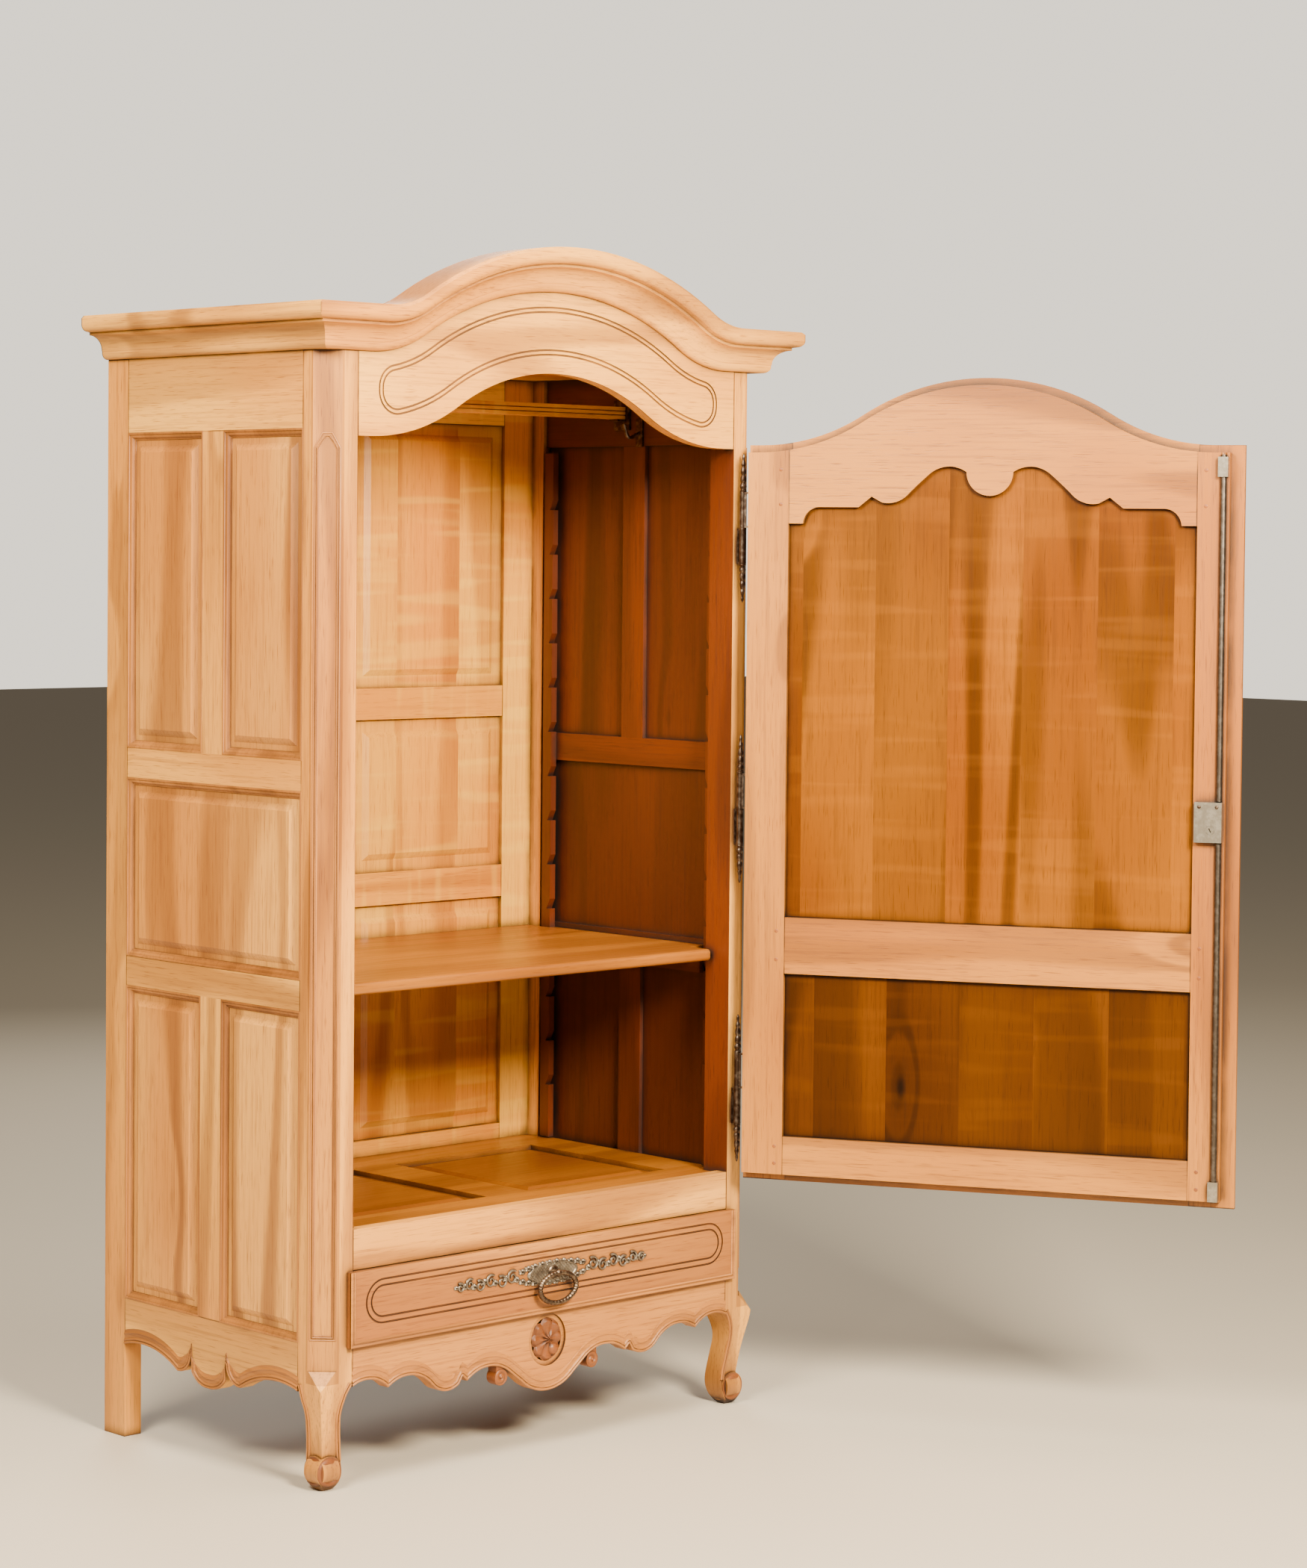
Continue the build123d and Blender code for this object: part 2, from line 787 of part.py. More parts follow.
with BuildPart() as shelf:
    board((-shelf_mouth, front + shelf_front, shelf_bottom), (shelf_mouth, shelf_step_front, shelf_top))
    board((-shelf_wide, shelf_step_front, shelf_bottom), (shelf_wide, shelf_step_rear, shelf_top))
    board(
        (-shelf_narrow, shelf_step_rear, shelf_bottom),
        (shelf_narrow, back_inner - shelf_side_clearance, shelf_top),
    )
    fillet(shelf.faces().sort_by(Axis.Y)[0].edges().filter_by(Axis.X), radius=shelf_round)
finish(shelf, "shelf")

# ---------------------------------------------------------------- hanging rail and coat hook
rail_y = front + hang_rail_depth
rail_half = hang_rail_size / 2
bracket_plate = 4
bracket_reach = 26
bracket_half_width = 22
bracket_low = hang_rail_height - 33
bracket_high = hang_rail_height + 25
hook_y = front + hook_depth
hook_wire = 3.5
hook_plate_half = 9
hook_plate_height = 54

with BuildPart() as hanging_rail:
    reach = inner_half - bracket_plate
    board(
        (-reach, rail_y - rail_half, hang_rail_height - rail_half),
        (reach, rail_y + rail_half, hang_rail_height + rail_half),
    )
    for edge_height in (-1, 1):
        groove_z = hang_rail_height + edge_height * rail_half / 3
        board(
            (-reach, rail_y - rail_half, groove_z - rail_groove_half),
            (reach, rail_y - rail_half + rail_groove_depth, groove_z + rail_groove_half),
            mode=Mode.SUBTRACT,
        )
finish(hanging_rail, "hanging_rail")

with BuildPart() as rail_brackets:
    for side in (-1, 1):
        board(
            (side * inner_half, rail_y - bracket_half_width, bracket_low),
            (side * (inner_half - bracket_plate), rail_y + bracket_half_width, bracket_high),
        )
        board(
            (side * inner_half, rail_y - rail_half, hang_rail_height - rail_half - bracket_plate),
            (side * (inner_half - bracket_reach), rail_y + rail_half, hang_rail_height - rail_half),
        )
finish(rail_brackets, "rail_brackets")

with BuildPart() as coat_hook:
    board(
        (inner_half, hook_y - hook_plate_half, hook_height - hook_plate_height / 2),
        (inner_half - bracket_plate, hook_y + hook_plate_half, hook_height + hook_plate_height / 2),
    )
    with BuildLine() as hook_path:
        FilletPolyline(
            (inner_half - bracket_plate / 2, hook_y, hook_height),
            (inner_half - hook_dip_reach, hook_y, hook_height - hook_dip),
            (inner_half - hook_tip_reach, hook_y, hook_height + hook_rise),
            radius=hook_bend,
        )
    with BuildSketch(Plane(origin=hook_path.line @ 0, z_dir=hook_path.line % 0)):
        Circle(hook_wire)
    sweep()
finish(coat_hook, "coat_hook")

# ---------------------------------------------------------------- drawer and its runners
drawer_half = opening_half + drawer_lip
drawer_inner_half = opening_half - drawer_front_gap
drawer_bottom_edge = drawer_opening_bottom + drawer_front_gap
drawer_top_edge = sill_bottom - drawer_front_gap
drawer_face = front - drawer_lip_thickness
drawer_box_front = front + drawer_front_thickness
drawer_box_rear = back_inner - drawer_back_gap
drawer_outer_half = opening_half - drawer_side_gap
drawer_box_top = drawer_bottom_edge + drawer_side_height
drawer_board_inner = drawer_outer_half - drawer_side_thickness
pivot_half = post_radius + pivot_reach
pivot_drop = ring_half_height * math.sqrt(1 - (pivot_half / ring_half_width) ** 2)
pivot_turn = math.degrees(math.asin(pivot_half / ring_half_width))
ring_pivot_y = drawer_face - plate_thickness - post_reach + post_radius
ring_pivot_height = plate_middle_height

with BuildPart() as drawer_front:
    board(
        (-drawer_half, drawer_face, drawer_opening_bottom - drawer_lip + drawer_stop_gap),
        (drawer_half, front - drawer_stop_gap, drawer_top_edge),
    )
    board(
        (-drawer_inner_half, front - drawer_stop_gap, drawer_bottom_edge),
        (drawer_inner_half, drawer_box_front, drawer_top_edge),
    )
    for inset in (0, drawer_groove_spacing):
        half_length = drawer_half - drawer_groove_inset - inset
        with BuildSketch(front_plane(drawer_face)) as stadium:
            with Locations((0, drawer_groove_middle)):
                SlotOverall(2 * half_length, drawer_groove_height - 2 * inset)
            offset(amount=-frieze_groove_width, mode=Mode.SUBTRACT)
        extrude(stadium.sketch, amount=-frieze_groove_depth, mode=Mode.SUBTRACT)
finish(drawer_front, "drawer_front")

with BuildPart() as drawer_sides:
    for side in (-1, 1):
        board(
            (side * drawer_outer_half, drawer_box_front, drawer_bottom_edge),
            (side * drawer_board_inner, drawer_box_rear, drawer_box_top),
        )
finish(drawer_sides, "drawer_sides")

with BuildPart() as drawer_back:
    board(
        (
            -drawer_board_inner,
            drawer_box_rear - drawer_side_thickness,
            drawer_bottom_edge + drawer_bottom_thickness,
        ),
        (drawer_board_inner, drawer_box_rear, drawer_box_top),
    )
finish(drawer_back, "drawer_back")

with BuildPart() as drawer_bottom:
    board(
        (-drawer_board_inner, drawer_box_front, drawer_bottom_edge),
        (drawer_board_inner, drawer_box_rear, drawer_bottom_edge + drawer_bottom_thickness),
    )
finish(drawer_bottom, "drawer_bottom")

with BuildPart() as drawer_plate:
    with BuildSketch(front_plane(drawer_face)):
        with BuildLine():
            half_length = plate_length / 2
            for way in (-1, 1):
                ThreePointArc(
                    (-half_length, plate_middle_height + way * plate_end_half),
                    (0, plate_middle_height + way * plate_height / 2),
                    (half_length, plate_middle_height + way * plate_end_half),
                )
            for side in (-1, 1):
                Line(
                    (side * half_length, plate_middle_height - plate_end_half),
                    (side * half_length, plate_middle_height + plate_end_half),
                )
        make_face()
        for side in (-1, 1):
            with Locations((side * plate_hole_reach, plate_middle_height)):
                Ellipse(plate_hole_half, plate_hole_half / 2, mode=Mode.SUBTRACT)
    extrude(amount=plate_thickness)
finish(drawer_plate, "drawer_plate")

with BuildPart() as ring_post:
    with BuildSketch(front_plane(drawer_face - plate_thickness)):
        with Locations((0, ring_pivot_height)):
            Circle(post_rose)
    extrude(amount=post_rose_thickness)
    with BuildSketch(front_plane(drawer_face - plate_thickness)):
        with Locations((0, ring_pivot_height)):
            Circle(post_radius)
    extrude(amount=post_reach)
    with BuildSketch(Plane(origin=(0, ring_pivot_y, ring_pivot_height), z_dir=(1, 0, 0))):
        Circle(pivot_radius + ring_clearance)
    extrude(amount=post_radius * 2, both=True, mode=Mode.SUBTRACT)
finish(ring_post, "ring_post")

with BuildPart() as drawer_ring:
    with BuildSketch(Plane(origin=(-pivot_half, ring_pivot_y, ring_pivot_height), z_dir=(1, 0, 0))):
        Circle(pivot_radius)
    extrude(amount=2 * pivot_half)
    with BuildLine(front_plane(ring_pivot_y)) as ring_path:
        EllipticalCenterArc(
            (0, ring_pivot_height - pivot_drop),
            ring_half_width,
            ring_half_height,
            start_angle=90 + pivot_turn,
            arc_size=360 - 2 * pivot_turn,
        )
    with BuildSketch(Plane(origin=ring_path.line @ 0, z_dir=ring_path.line % 0)):
        Circle(ring_wire)
    sweep()
finish(drawer_ring, "drawer_ring")

runner_top = drawer_bottom_edge - runner_gap
runner_inner = inner_half - runner_width

with BuildPart() as drawer_runners:
    for side in (-1, 1):
        board(
            (side * inner_half, side_front, runner_top - runner_thickness),
            (side * runner_inner, side_rear, runner_top),
        )
        board(
            (side * inner_half, side_front, runner_top),
            (side * (opening_half - runner_gap), side_rear, runner_top + runner_thickness),
        )
finish(drawer_runners, "drawer_runners")

# ---------------------------------------------------------------- door
door_low = sill_top - door_edge_overlap
door_block_low = sill_top + door_edge_gap
mid_low, mid_high = door_mid_rail
scallop_runs = [
    [(0, 87), (31, 74), (44, 43)],
    [(44, 43), (76, 33), (114, 47)],
    [(114, 47), (132, 63), (152, 82)],
    [(152, 82), (172, 97), (204, 100)],
    [(204, 100), (224, 89)],
    [(224, 89), (249, 109)],
    [(249, 109), (321, 109)],
    [(321, 109), (346, 118), (356, door_head_drop)],
]


def door_at(offset):
    """The door's own plane, moved in from the hinge line towards the inside face."""
    return door_plane.offset(offset)


def door_rectangle(off, left, right, low, high):
    """A rectangle on one of the door's planes, as a face."""
    with BuildSketch(door_at(off)) as patch:
        with Locations(((left + right) / 2, (low + high) / 2)):
            Rectangle(right - left, high - low)
    return patch.sketch


def door_outline(off, left, right, level):
    """The door's arched outline, on one of its planes, from the lower rail up."""
    with BuildSketch(door_at(off)) as outline:
        with BuildLine():
            arch_edge(level, opening_half + door_lip_overlap, door_middle)
            for side in (-1, 1):
                end = door_middle + side * (opening_half + door_lip_overlap)
                Line((end, opening_top + level), (end, mid_high))
            Line(
                (door_middle - opening_half - door_lip_overlap, mid_high),
                (door_middle + opening_half + door_lip_overlap, mid_high),
            )
        make_face()
        with Locations(((left + right) / 2, opening_top)):
            Rectangle(right - left, clip_height, mode=Mode.INTERSECT)
    return outline.sketch


def scallop(off):
    """The opening of the upper panel with its shaped head, on one of the door's planes."""
    with BuildSketch(door_at(off)) as cut:
        with BuildLine():
            hung = [[(across, opening_top - drop) for across, drop in run] for run in scallop_runs]
            mirrored_run(hung, panel_middle)
            reach, low = hung[-1][-1]
            for side in (-1, 1):
                inner = panel_middle + side * reach
                outer = panel_middle + side * (panel_right - panel_left) / 2
                Line((inner, low), (outer, low))
                Line((outer, low), (outer, mid_high))
            Line((panel_left, mid_high), (panel_right, mid_high))
        make_face()
    return cut.sketch


def door_stile(lip_edge, block_edge, inner):
    """Add one stile: the lip outside and the block inside the opening."""
    left, right = sorted((lip_edge, inner))
    block_left, block_right = sorted((block_edge, inner))
    lip_level = door_edge_overlap
    block_level = -door_edge_gap
    extrude(door_outline(door_outer_face, left, right, lip_level), amount=door_lip_thickness)
    extrude(door_rectangle(door_outer_face, left, right, door_low, mid_high), amount=door_lip_thickness)
    extrude(door_outline(door_step, block_left, block_right, block_level), amount=door_inner_thickness)
    extrude(
        door_rectangle(door_step, block_left, block_right, door_block_low, mid_high),
        amount=door_inner_thickness,
    )


def rod_channel():
    """Cut the groove in which both lock rods lie."""
    channel = rod_radius + rod_channel_clearance
    with BuildSketch(door_rod_plane) as groove:
        Circle(channel)
    extrude(groove.sketch, amount=clip_height, mode=Mode.SUBTRACT)


door_rod_origin = door_at(rod_off).origin + Vector(*door_along) * rod_s
door_rod_plane = Plane(origin=door_rod_origin, x_dir=door_along, z_dir=(0, 0, 1))

with BuildPart() as door_hinge_stile:
    door_stile(door_hinge_edge, door_hinge_edge + door_hinge_step, panel_left)
finish(door_hinge_stile, "door_hinge_stile")

with BuildPart() as door_lock_stile:
    door_stile(door_free_edge, door_block_edge, panel_right)
    rod_channel()
finish(door_lock_stile, "door_lock_stile")

with BuildPart() as door_top_rail:
    extrude(
        door_outline(door_outer_face, panel_left, panel_right, door_edge_overlap),
        amount=door_lip_thickness,
    )
    extrude(
        door_outline(door_step, panel_left, panel_right, -door_edge_gap),
        amount=door_inner_thickness,
    )
    extrude(scallop(door_outer_face), amount=door_lip_thickness + door_inner_thickness, mode=Mode.SUBTRACT)
finish(door_top_rail, "door_top_rail")

with BuildPart() as door_mid_rail_piece:
    extrude(
        door_rectangle(door_outer_face, panel_left, panel_right, mid_low, mid_high),
        amount=door_inner_face - door_outer_face,
    )
finish(door_mid_rail_piece, "door_mid_rail")

with BuildPart() as door_bottom_rail:
    extrude(
        door_rectangle(door_outer_face, panel_left, panel_right, door_low, door_bottom_rail_top),
        amount=door_lip_thickness,
    )
    extrude(
        door_rectangle(door_step, panel_left, panel_right, door_block_low, door_bottom_rail_top),
        amount=door_inner_thickness,
    )
finish(door_bottom_rail, "door_bottom_rail")

panel_inner_face = door_inner_face - door_panel_recess
panel_outer_face = panel_inner_face - door_panel_thickness

with BuildPart() as door_upper_panel:
    extrude(scallop(panel_outer_face), amount=door_panel_thickness)
    field = door_rectangle(
        panel_outer_face,
        panel_left + panel_field_margin,
        panel_right - panel_field_margin,
        mid_high + panel_field_margin,
        door_upper_opening - panel_field_margin,
    )
    extrude(field, amount=-panel_field_rise, taper=field_taper)
finish(door_upper_panel, "door_upper_panel")

with BuildPart() as door_lower_panel:
    extrude(
        door_rectangle(panel_outer_face, panel_left, panel_right, door_bottom_rail_top, mid_low),
        amount=door_panel_thickness,
    )
    field = door_rectangle(
        panel_outer_face,
        panel_left + panel_field_margin,
        panel_right - panel_field_margin,
        door_bottom_rail_top + panel_field_margin,
        mid_low - panel_field_margin,
    )
    extrude(field, amount=-panel_field_rise, taper=field_taper)
finish(door_lower_panel, "door_lower_panel")

# ---------------------------------------------------------------- lock, rods and guides
lock_left = door_block_edge - lock_edge_distance
lock_right = lock_left + lock_width
lock_low = lock_middle - lock_height / 2
lock_high = lock_middle + lock_height / 2
cam_height = lock_middle - cam_drop
cam_s = (lock_left + lock_right) / 2 + cam_shift

with BuildPart() as lock_case:
    extrude(door_rectangle(door_inner_face, lock_left, lock_right, lock_low, lock_high), amount=lock_thickness)
    with BuildSketch(door_at(door_inner_face + lock_thickness)) as key_hole:
        with Locations((cam_s, cam_height)):
            Circle(cam_radius + cam_clearance)
    extrude(key_hole.sketch, amount=-cam_thickness - cam_clearance, mode=Mode.SUBTRACT)
finish(lock_case, "lock_case")

with BuildPart() as lock_cam:
    with BuildSketch(door_at(door_inner_face + lock_thickness)) as disc:
        with Locations((cam_s, cam_height)):
            Circle(cam_radius)
            Rectangle(cam_radius / 4, cam_radius, rotation=25, mode=Mode.SUBTRACT)
    extrude(disc.sketch, amount=-cam_thickness)
finish(lock_cam, "lock_cam")


def rod_piece(low, high, mode=Mode.ADD, radius=rod_radius):
    """Add a round bar on the rods' line between two heights."""
    with BuildSketch(door_rod_plane.offset(low)) as bar:
        Circle(radius)
    extrude(bar.sketch, amount=high - low, mode=mode)


with BuildPart() as upper_rod:
    rod_piece(lock_high + lock_rod_gap, rod_top)
finish(upper_rod, "upper_rod")

with BuildPart() as lower_rod:
    rod_piece(rod_bottom, lock_low - lock_rod_gap)
finish(lower_rod, "lower_rod")

with BuildPart() as rod_guides:
    for low in (rod_top - guide_length - guide_top_gap, rod_bottom + guide_bottom_gap):
        high = low + guide_length
        left = rod_s - guide_reach
        right = rod_s + guide_reach
        extrude(
            door_rectangle(door_inner_face, left, right, low, high),
            amount=rod_radius * 2 - rod_sink + guide_cover,
        )
        rod_piece(low - cut_past, high + cut_past, mode=Mode.SUBTRACT, radius=rod_radius + rod_guide_clearance)
finish(rod_guides, "rod_guides")

with BuildPart() as escutcheon:
    with BuildSketch(door_at(door_outer_face)) as plate:
        with Locations((cam_s, cam_height)):
            SlotOverall(escutcheon_height, escutcheon_width, rotation=90)
    extrude(plate.sketch, amount=-escutcheon_thickness)
finish(escutcheon, "escutcheon")

# ---------------------------------------------------------------- hinges
knuckle_half = hinge_gap / 2


def hinge_knuckle(middle, side, bore):
    """Add one barrel of a hinge, on one side of its middle, with its pin or its bore."""
    start = middle + side * knuckle_half
    barrel = Plane(origin=(hinge_x, hinge_y, start), x_dir=(1, 0, 0), z_dir=(0, 0, side))
    with BuildSketch(barrel) as round_bar:
        Circle(hinge_barrel_radius)
    extrude(round_bar.sketch, amount=hinge_knuckle_length)
    with BuildSketch(barrel.offset(hinge_knuckle_length)) as finial:
        Circle(hinge_barrel_radius)
    extrude(finial.sketch, amount=hinge_finial_length, taper=hinge_finial_taper)
    if bore:
        with BuildSketch(barrel) as hole:
            Circle(hinge_pin_radius + hinge_pin_clearance)
        extrude(hole.sketch, amount=hinge_knuckle_length - hinge_bore_end, mode=Mode.SUBTRACT)
    else:
        with BuildSketch(barrel) as pin:
            Circle(hinge_pin_radius)
        extrude(pin.sketch, amount=-(hinge_knuckle_length - hinge_pin_end + hinge_gap))


with BuildPart() as post_hinges:
    for middle in hinge_middles:
        hinge_knuckle(middle, -1, False)
        board(
            (hinge_x - hinge_leaf / 2, hinge_y + hinge_pin_radius, middle - knuckle_half - hinge_knuckle_length),
            (hinge_x + hinge_leaf / 2, front, middle - knuckle_half),
        )
finish(post_hinges, "post_hinges")

with BuildPart() as door_hinges:
    for middle in hinge_middles:
        extrude(
            door_rectangle(
                door_outer_face,
                hinge_pin_radius,
                door_hinge_edge,
                middle + knuckle_half,
                middle + knuckle_half + hinge_knuckle_length,
            ),
            amount=hinge_leaf,
        )
        hinge_knuckle(middle, 1, True)
finish(door_hinges, "door_hinges")
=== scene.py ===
import json
import math

import bmesh
import bpy
import numpy as np
from mathutils import Matrix, Vector


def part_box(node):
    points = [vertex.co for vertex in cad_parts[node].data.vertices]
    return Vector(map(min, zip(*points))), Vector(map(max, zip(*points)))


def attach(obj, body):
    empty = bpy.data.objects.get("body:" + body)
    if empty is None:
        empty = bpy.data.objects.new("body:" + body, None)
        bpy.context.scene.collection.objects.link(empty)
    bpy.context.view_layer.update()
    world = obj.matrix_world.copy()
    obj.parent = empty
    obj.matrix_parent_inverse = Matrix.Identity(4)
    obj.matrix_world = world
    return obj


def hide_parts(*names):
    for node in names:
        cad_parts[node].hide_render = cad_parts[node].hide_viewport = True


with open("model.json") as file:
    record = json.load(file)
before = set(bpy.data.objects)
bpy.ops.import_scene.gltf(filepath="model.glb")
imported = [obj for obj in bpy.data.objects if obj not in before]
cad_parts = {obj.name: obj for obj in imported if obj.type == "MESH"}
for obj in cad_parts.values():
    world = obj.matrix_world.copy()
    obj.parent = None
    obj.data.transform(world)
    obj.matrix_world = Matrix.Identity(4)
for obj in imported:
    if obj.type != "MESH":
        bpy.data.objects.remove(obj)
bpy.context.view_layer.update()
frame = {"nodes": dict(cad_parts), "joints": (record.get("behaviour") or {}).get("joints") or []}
nodes = frame["nodes"]
print("frame loaded,", len(nodes), "nodes")


def put(name, data):
    thing = bpy.data.objects.new(name, data)
    bpy.context.scene.collection.objects.link(thing)
    return thing


def lowHigh(*names):
    # the lowest and highest corners of one or more nodes, together
    lows = np.array([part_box(name)[0] for name in names])
    highs = np.array([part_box(name)[1] for name in names])
    return lows.min(0), highs.max(0)


# the carcass's own lines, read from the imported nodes
friezeLow, friezeHigh = lowHigh("frieze")
halfWidth = -lowHigh("rear_left_post")[0][0]
frontFace = friezeLow[1]
openingHalf = friezeHigh[0]
sillBottom = float(lowHigh("sill_rail")[0][2])

# the door stands open at rest, turned this far about its hinge
doorJoint = next(joint for joint in frame["joints"] if joint["name"] == "door_hinge")
hingePlace = np.array(doorJoint["pos_m"])
doorTurn = math.radians(118)
doorAlong = np.array([-math.cos(doorTurn), -math.sin(doorTurn), 0.0])
doorInward = np.array([-math.sin(doorTurn), math.cos(doorTurn), 0.0])
openTurn = -(doorTurn + math.pi)  # turns the open door's grain back to the shut door's directions


class Net:
    # short ways to add nodes to a tree and join them
    def __init__(self, tree):
        self.tree = tree

    def add(self, kind, inputs=(), **settings):
        node = self.tree.nodes.new(kind)
        for key, value in settings.items():
            setattr(node, key, value)
        return self.feed(node, inputs)

    def feed(self, node, inputs):
        for key, value in dict(inputs).items():
            if isinstance(value, bpy.types.NodeSocket):
                self.tree.links.new(value, node.inputs[key])
            else:
                node.inputs[key].default_value = value
        return node

    def math(self, operation, first, second=0.0, third=0.0):
        return self.add("ShaderNodeMath", {0: first, 1: second, 2: third}, operation=operation).outputs[0]

    def times(self, first, second):
        return self.math("MULTIPLY", first, second)

    def axes(self, vector):
        return self.add("ShaderNodeSeparateXYZ", {0: vector}).outputs

    def noise(self, vector, scale, detail=2.0, rough=0.5, twist=0.0):
        inputs = {"Vector": vector, "Scale": scale, "Detail": detail, "Roughness": rough, "Distortion": twist}
        return self.add("ShaderNodeTexNoise", inputs).outputs["Fac"]

    def stretch(self, vector, scale):
        return self.add("ShaderNodeMapping", {"Vector": vector, "Scale": scale}).outputs[0]

    def ramp(self, value, low, high, first=0.0, last=1.0):
        inputs = {"Value": value, "From Min": low, "From Max": high, "To Min": first, "To Max": last}
        return self.add("ShaderNodeMapRange", inputs, interpolation_type="SMOOTHSTEP").outputs[0]

    def bump(self, height, strength):
        inputs = {"Height": height, "Strength": strength, "Distance": 0.0006}
        return self.add("ShaderNodeBump", inputs).outputs[0]

    def mix(self, factor, first, second, blend="MIX"):
        inputs = {0: factor, 6: first, 7: second}
        return self.add("ShaderNodeMix", inputs, data_type="RGBA", blend_type=blend).outputs[2]


def newMaterial(name):
    material = bpy.data.materials.new(name)
    material.use_nodes = True
    return material, Net(material.node_tree), material.node_tree.nodes["Principled BSDF"]


# camera, lights and floor
camera = {
    "place": (-4.4654, -5.2169, 1.6335),
    "yaw": 43.7115,  # degrees from +Y towards +X
    "pitch": -2.1439,
    "roll": 0.5203,
    "lens": 84.13,
    "shift": (0.00845, -0.06065),
}


def makeCamera(values):
    # three turned axes, from yaw, pitch and roll, make the camera's matrix
    yaw, pitch, roll = (math.radians(values[key]) for key in ("yaw", "pitch", "roll"))
    ahead = Vector((math.sin(yaw) * math.cos(pitch), math.cos(yaw) * math.cos(pitch), math.sin(pitch)))
    right = Vector((math.cos(yaw), -math.sin(yaw), 0.0))
    above = right.cross(ahead)
    turnedRight = math.cos(roll) * right + math.sin(roll) * above
    turnedAbove = -math.sin(roll) * right + math.cos(roll) * above
    turn = Matrix((turnedRight, turnedAbove, -ahead)).transposed().to_4x4()
    data = bpy.data.cameras.new("camera")
    data.lens = values["lens"]
    data.sensor_fit = "AUTO"
    data.sensor_width = 36
    data.shift_x, data.shift_y = values["shift"]
    thing = put("camera", data)
    thing.matrix_world = Matrix.Translation(values["place"]) @ turn
    bpy.context.scene.camera = thing


lamps = {
    "key": {"place": (-0.9, -3.9, 2.95), "aim": (0.0, 0.0, 1.5), "size": 1.1, "power": 700, "tint": (1.0, 0.86, 0.64)},
    "fill": {"place": (-3.0, -1.2, 3.4), "aim": (0.0, 0.0, 1.6), "size": 1.4, "power": 320, "tint": (1.0, 0.88, 0.68)},
    "top": {"place": (0.8, -1.6, 4.6), "aim": (0.3, -0.2, 0.8), "size": 2.0, "power": 110, "tint": (1.0, 0.88, 0.70)},
    "behind": {"place": (2.6, 4.2, 3.4), "aim": (0.2, 0.0, 1.4), "size": 2.2, "power": 120, "tint": (1.0, 0.92, 0.8)},
}


def makeLamp(name, values):
    data = bpy.data.lights.new(name, "AREA")
    data.shape = "SQUARE"
    data.size = values["size"]
    data.energy = values["power"]
    data.color = values["tint"]
    thing = put(name, data)
    thing.location = values["place"]
    thing.rotation_euler = (Vector(values["aim"]) - Vector(values["place"])).to_track_quat("-Z", "Y").to_euler()


studio = {
    "floor": (0.56, 0.50, 0.41),
    "floorRough": 0.6,
    "air": (0.66, 0.58, 0.47),
    "airPower": 0.26,
    "backdrop": (0.9, 0.82, 0.7),
    "backdropPower": 1.7,
    "reach": 30.0,
}


def makeStudio(values):
    world = bpy.data.worlds.new("air")
    world.use_nodes = True
    net, sky = Net(world.node_tree), world.node_tree.nodes["Background"]
    net.feed(sky, {"Color": (*values["air"], 1), "Strength": values["airPower"]})
    # what the camera sees beyond the floor is brighter than what lights the piece
    seen = net.add("ShaderNodeBackground", {"Color": (*values["backdrop"], 1), "Strength": values["backdropPower"]})
    path = net.add("ShaderNodeLightPath")
    blend = net.add("ShaderNodeMixShader", {0: path.outputs["Is Camera Ray"], 1: sky.outputs[0], 2: seen.outputs[0]})
    net.feed(world.node_tree.nodes["World Output"], {"Surface": blend.outputs[0]})
    bpy.context.scene.world = world
    reach = values["reach"]
    mesh = bpy.data.meshes.new("floor")
    corners = [(-reach, -reach, 0), (reach, -reach, 0), (reach, reach, 0), (-reach, reach, 0)]
    mesh.from_pydata(corners, [], [(0, 1, 2, 3)])
    floor = put("floor", mesh)
    material, net, shader = newMaterial("floor")
    net.feed(shader, {"Base Color": (*values["floor"], 1), "Roughness": values["floorRough"]})
    mesh.materials.append(material)


makeCamera(camera)
for lampName, lampValues in lamps.items():
    makeLamp(lampName, lampValues)
makeStudio(studio)
print("camera, lights and floor")


# materials
def newGroup(name, inputs):
    group = bpy.data.node_groups.new(name, "ShaderNodeTree")
    for label, kind, value in inputs:
        socket = group.interface.new_socket(label, in_out="INPUT", socket_type=kind)
        if value is not None:
            socket.default_value = value
    for label, kind in (("Color", "NodeSocketColor"), ("Rough", "NodeSocketFloat"), ("Height", "NodeSocketFloat")):
        group.interface.new_socket(label, in_out="OUTPUT", socket_type=kind)
    source = group.nodes.new("NodeGroupInput")
    target = group.nodes.new("NodeGroupOutput")
    return group, Net(group), source.outputs, target


# how often each pattern repeats per metre: twice across the grain, then along it
grainScales = {
    "knots": (7.0, 7.0, 2.6), "broad": (4.5, 4.5, 0.5), "lines": (3.0, 3.0, 0.7), "fibre": (170.0, 170.0, 5.0),
    "pores": (520.0, 520.0, 22.0), "patches": (2.2, 2.2, 1.0), "ripple": (3.0, 3.0, 34.0),
}
woodAmounts = {"Figure": 0.35, "Rings": 34.0, "Fibre": 0.4, "Board": 0.0, "Board Width": 0.15, "Ripple Sheen": 0.0,
               "Knots": 0.0, "Dirt And Shade": 1.0}
knotFree = 0.72  # the share of places where a knot could be and is not
# dirt and painted shade in the wood's corners and hollows: how far to look, the openness where it is darkest and
# untouched, and the scale of its patches
cornerDirtAndShade = {"reach": 0.022, "darkest": 0.42, "untouched": 0.98, "patchScale": 9.0}


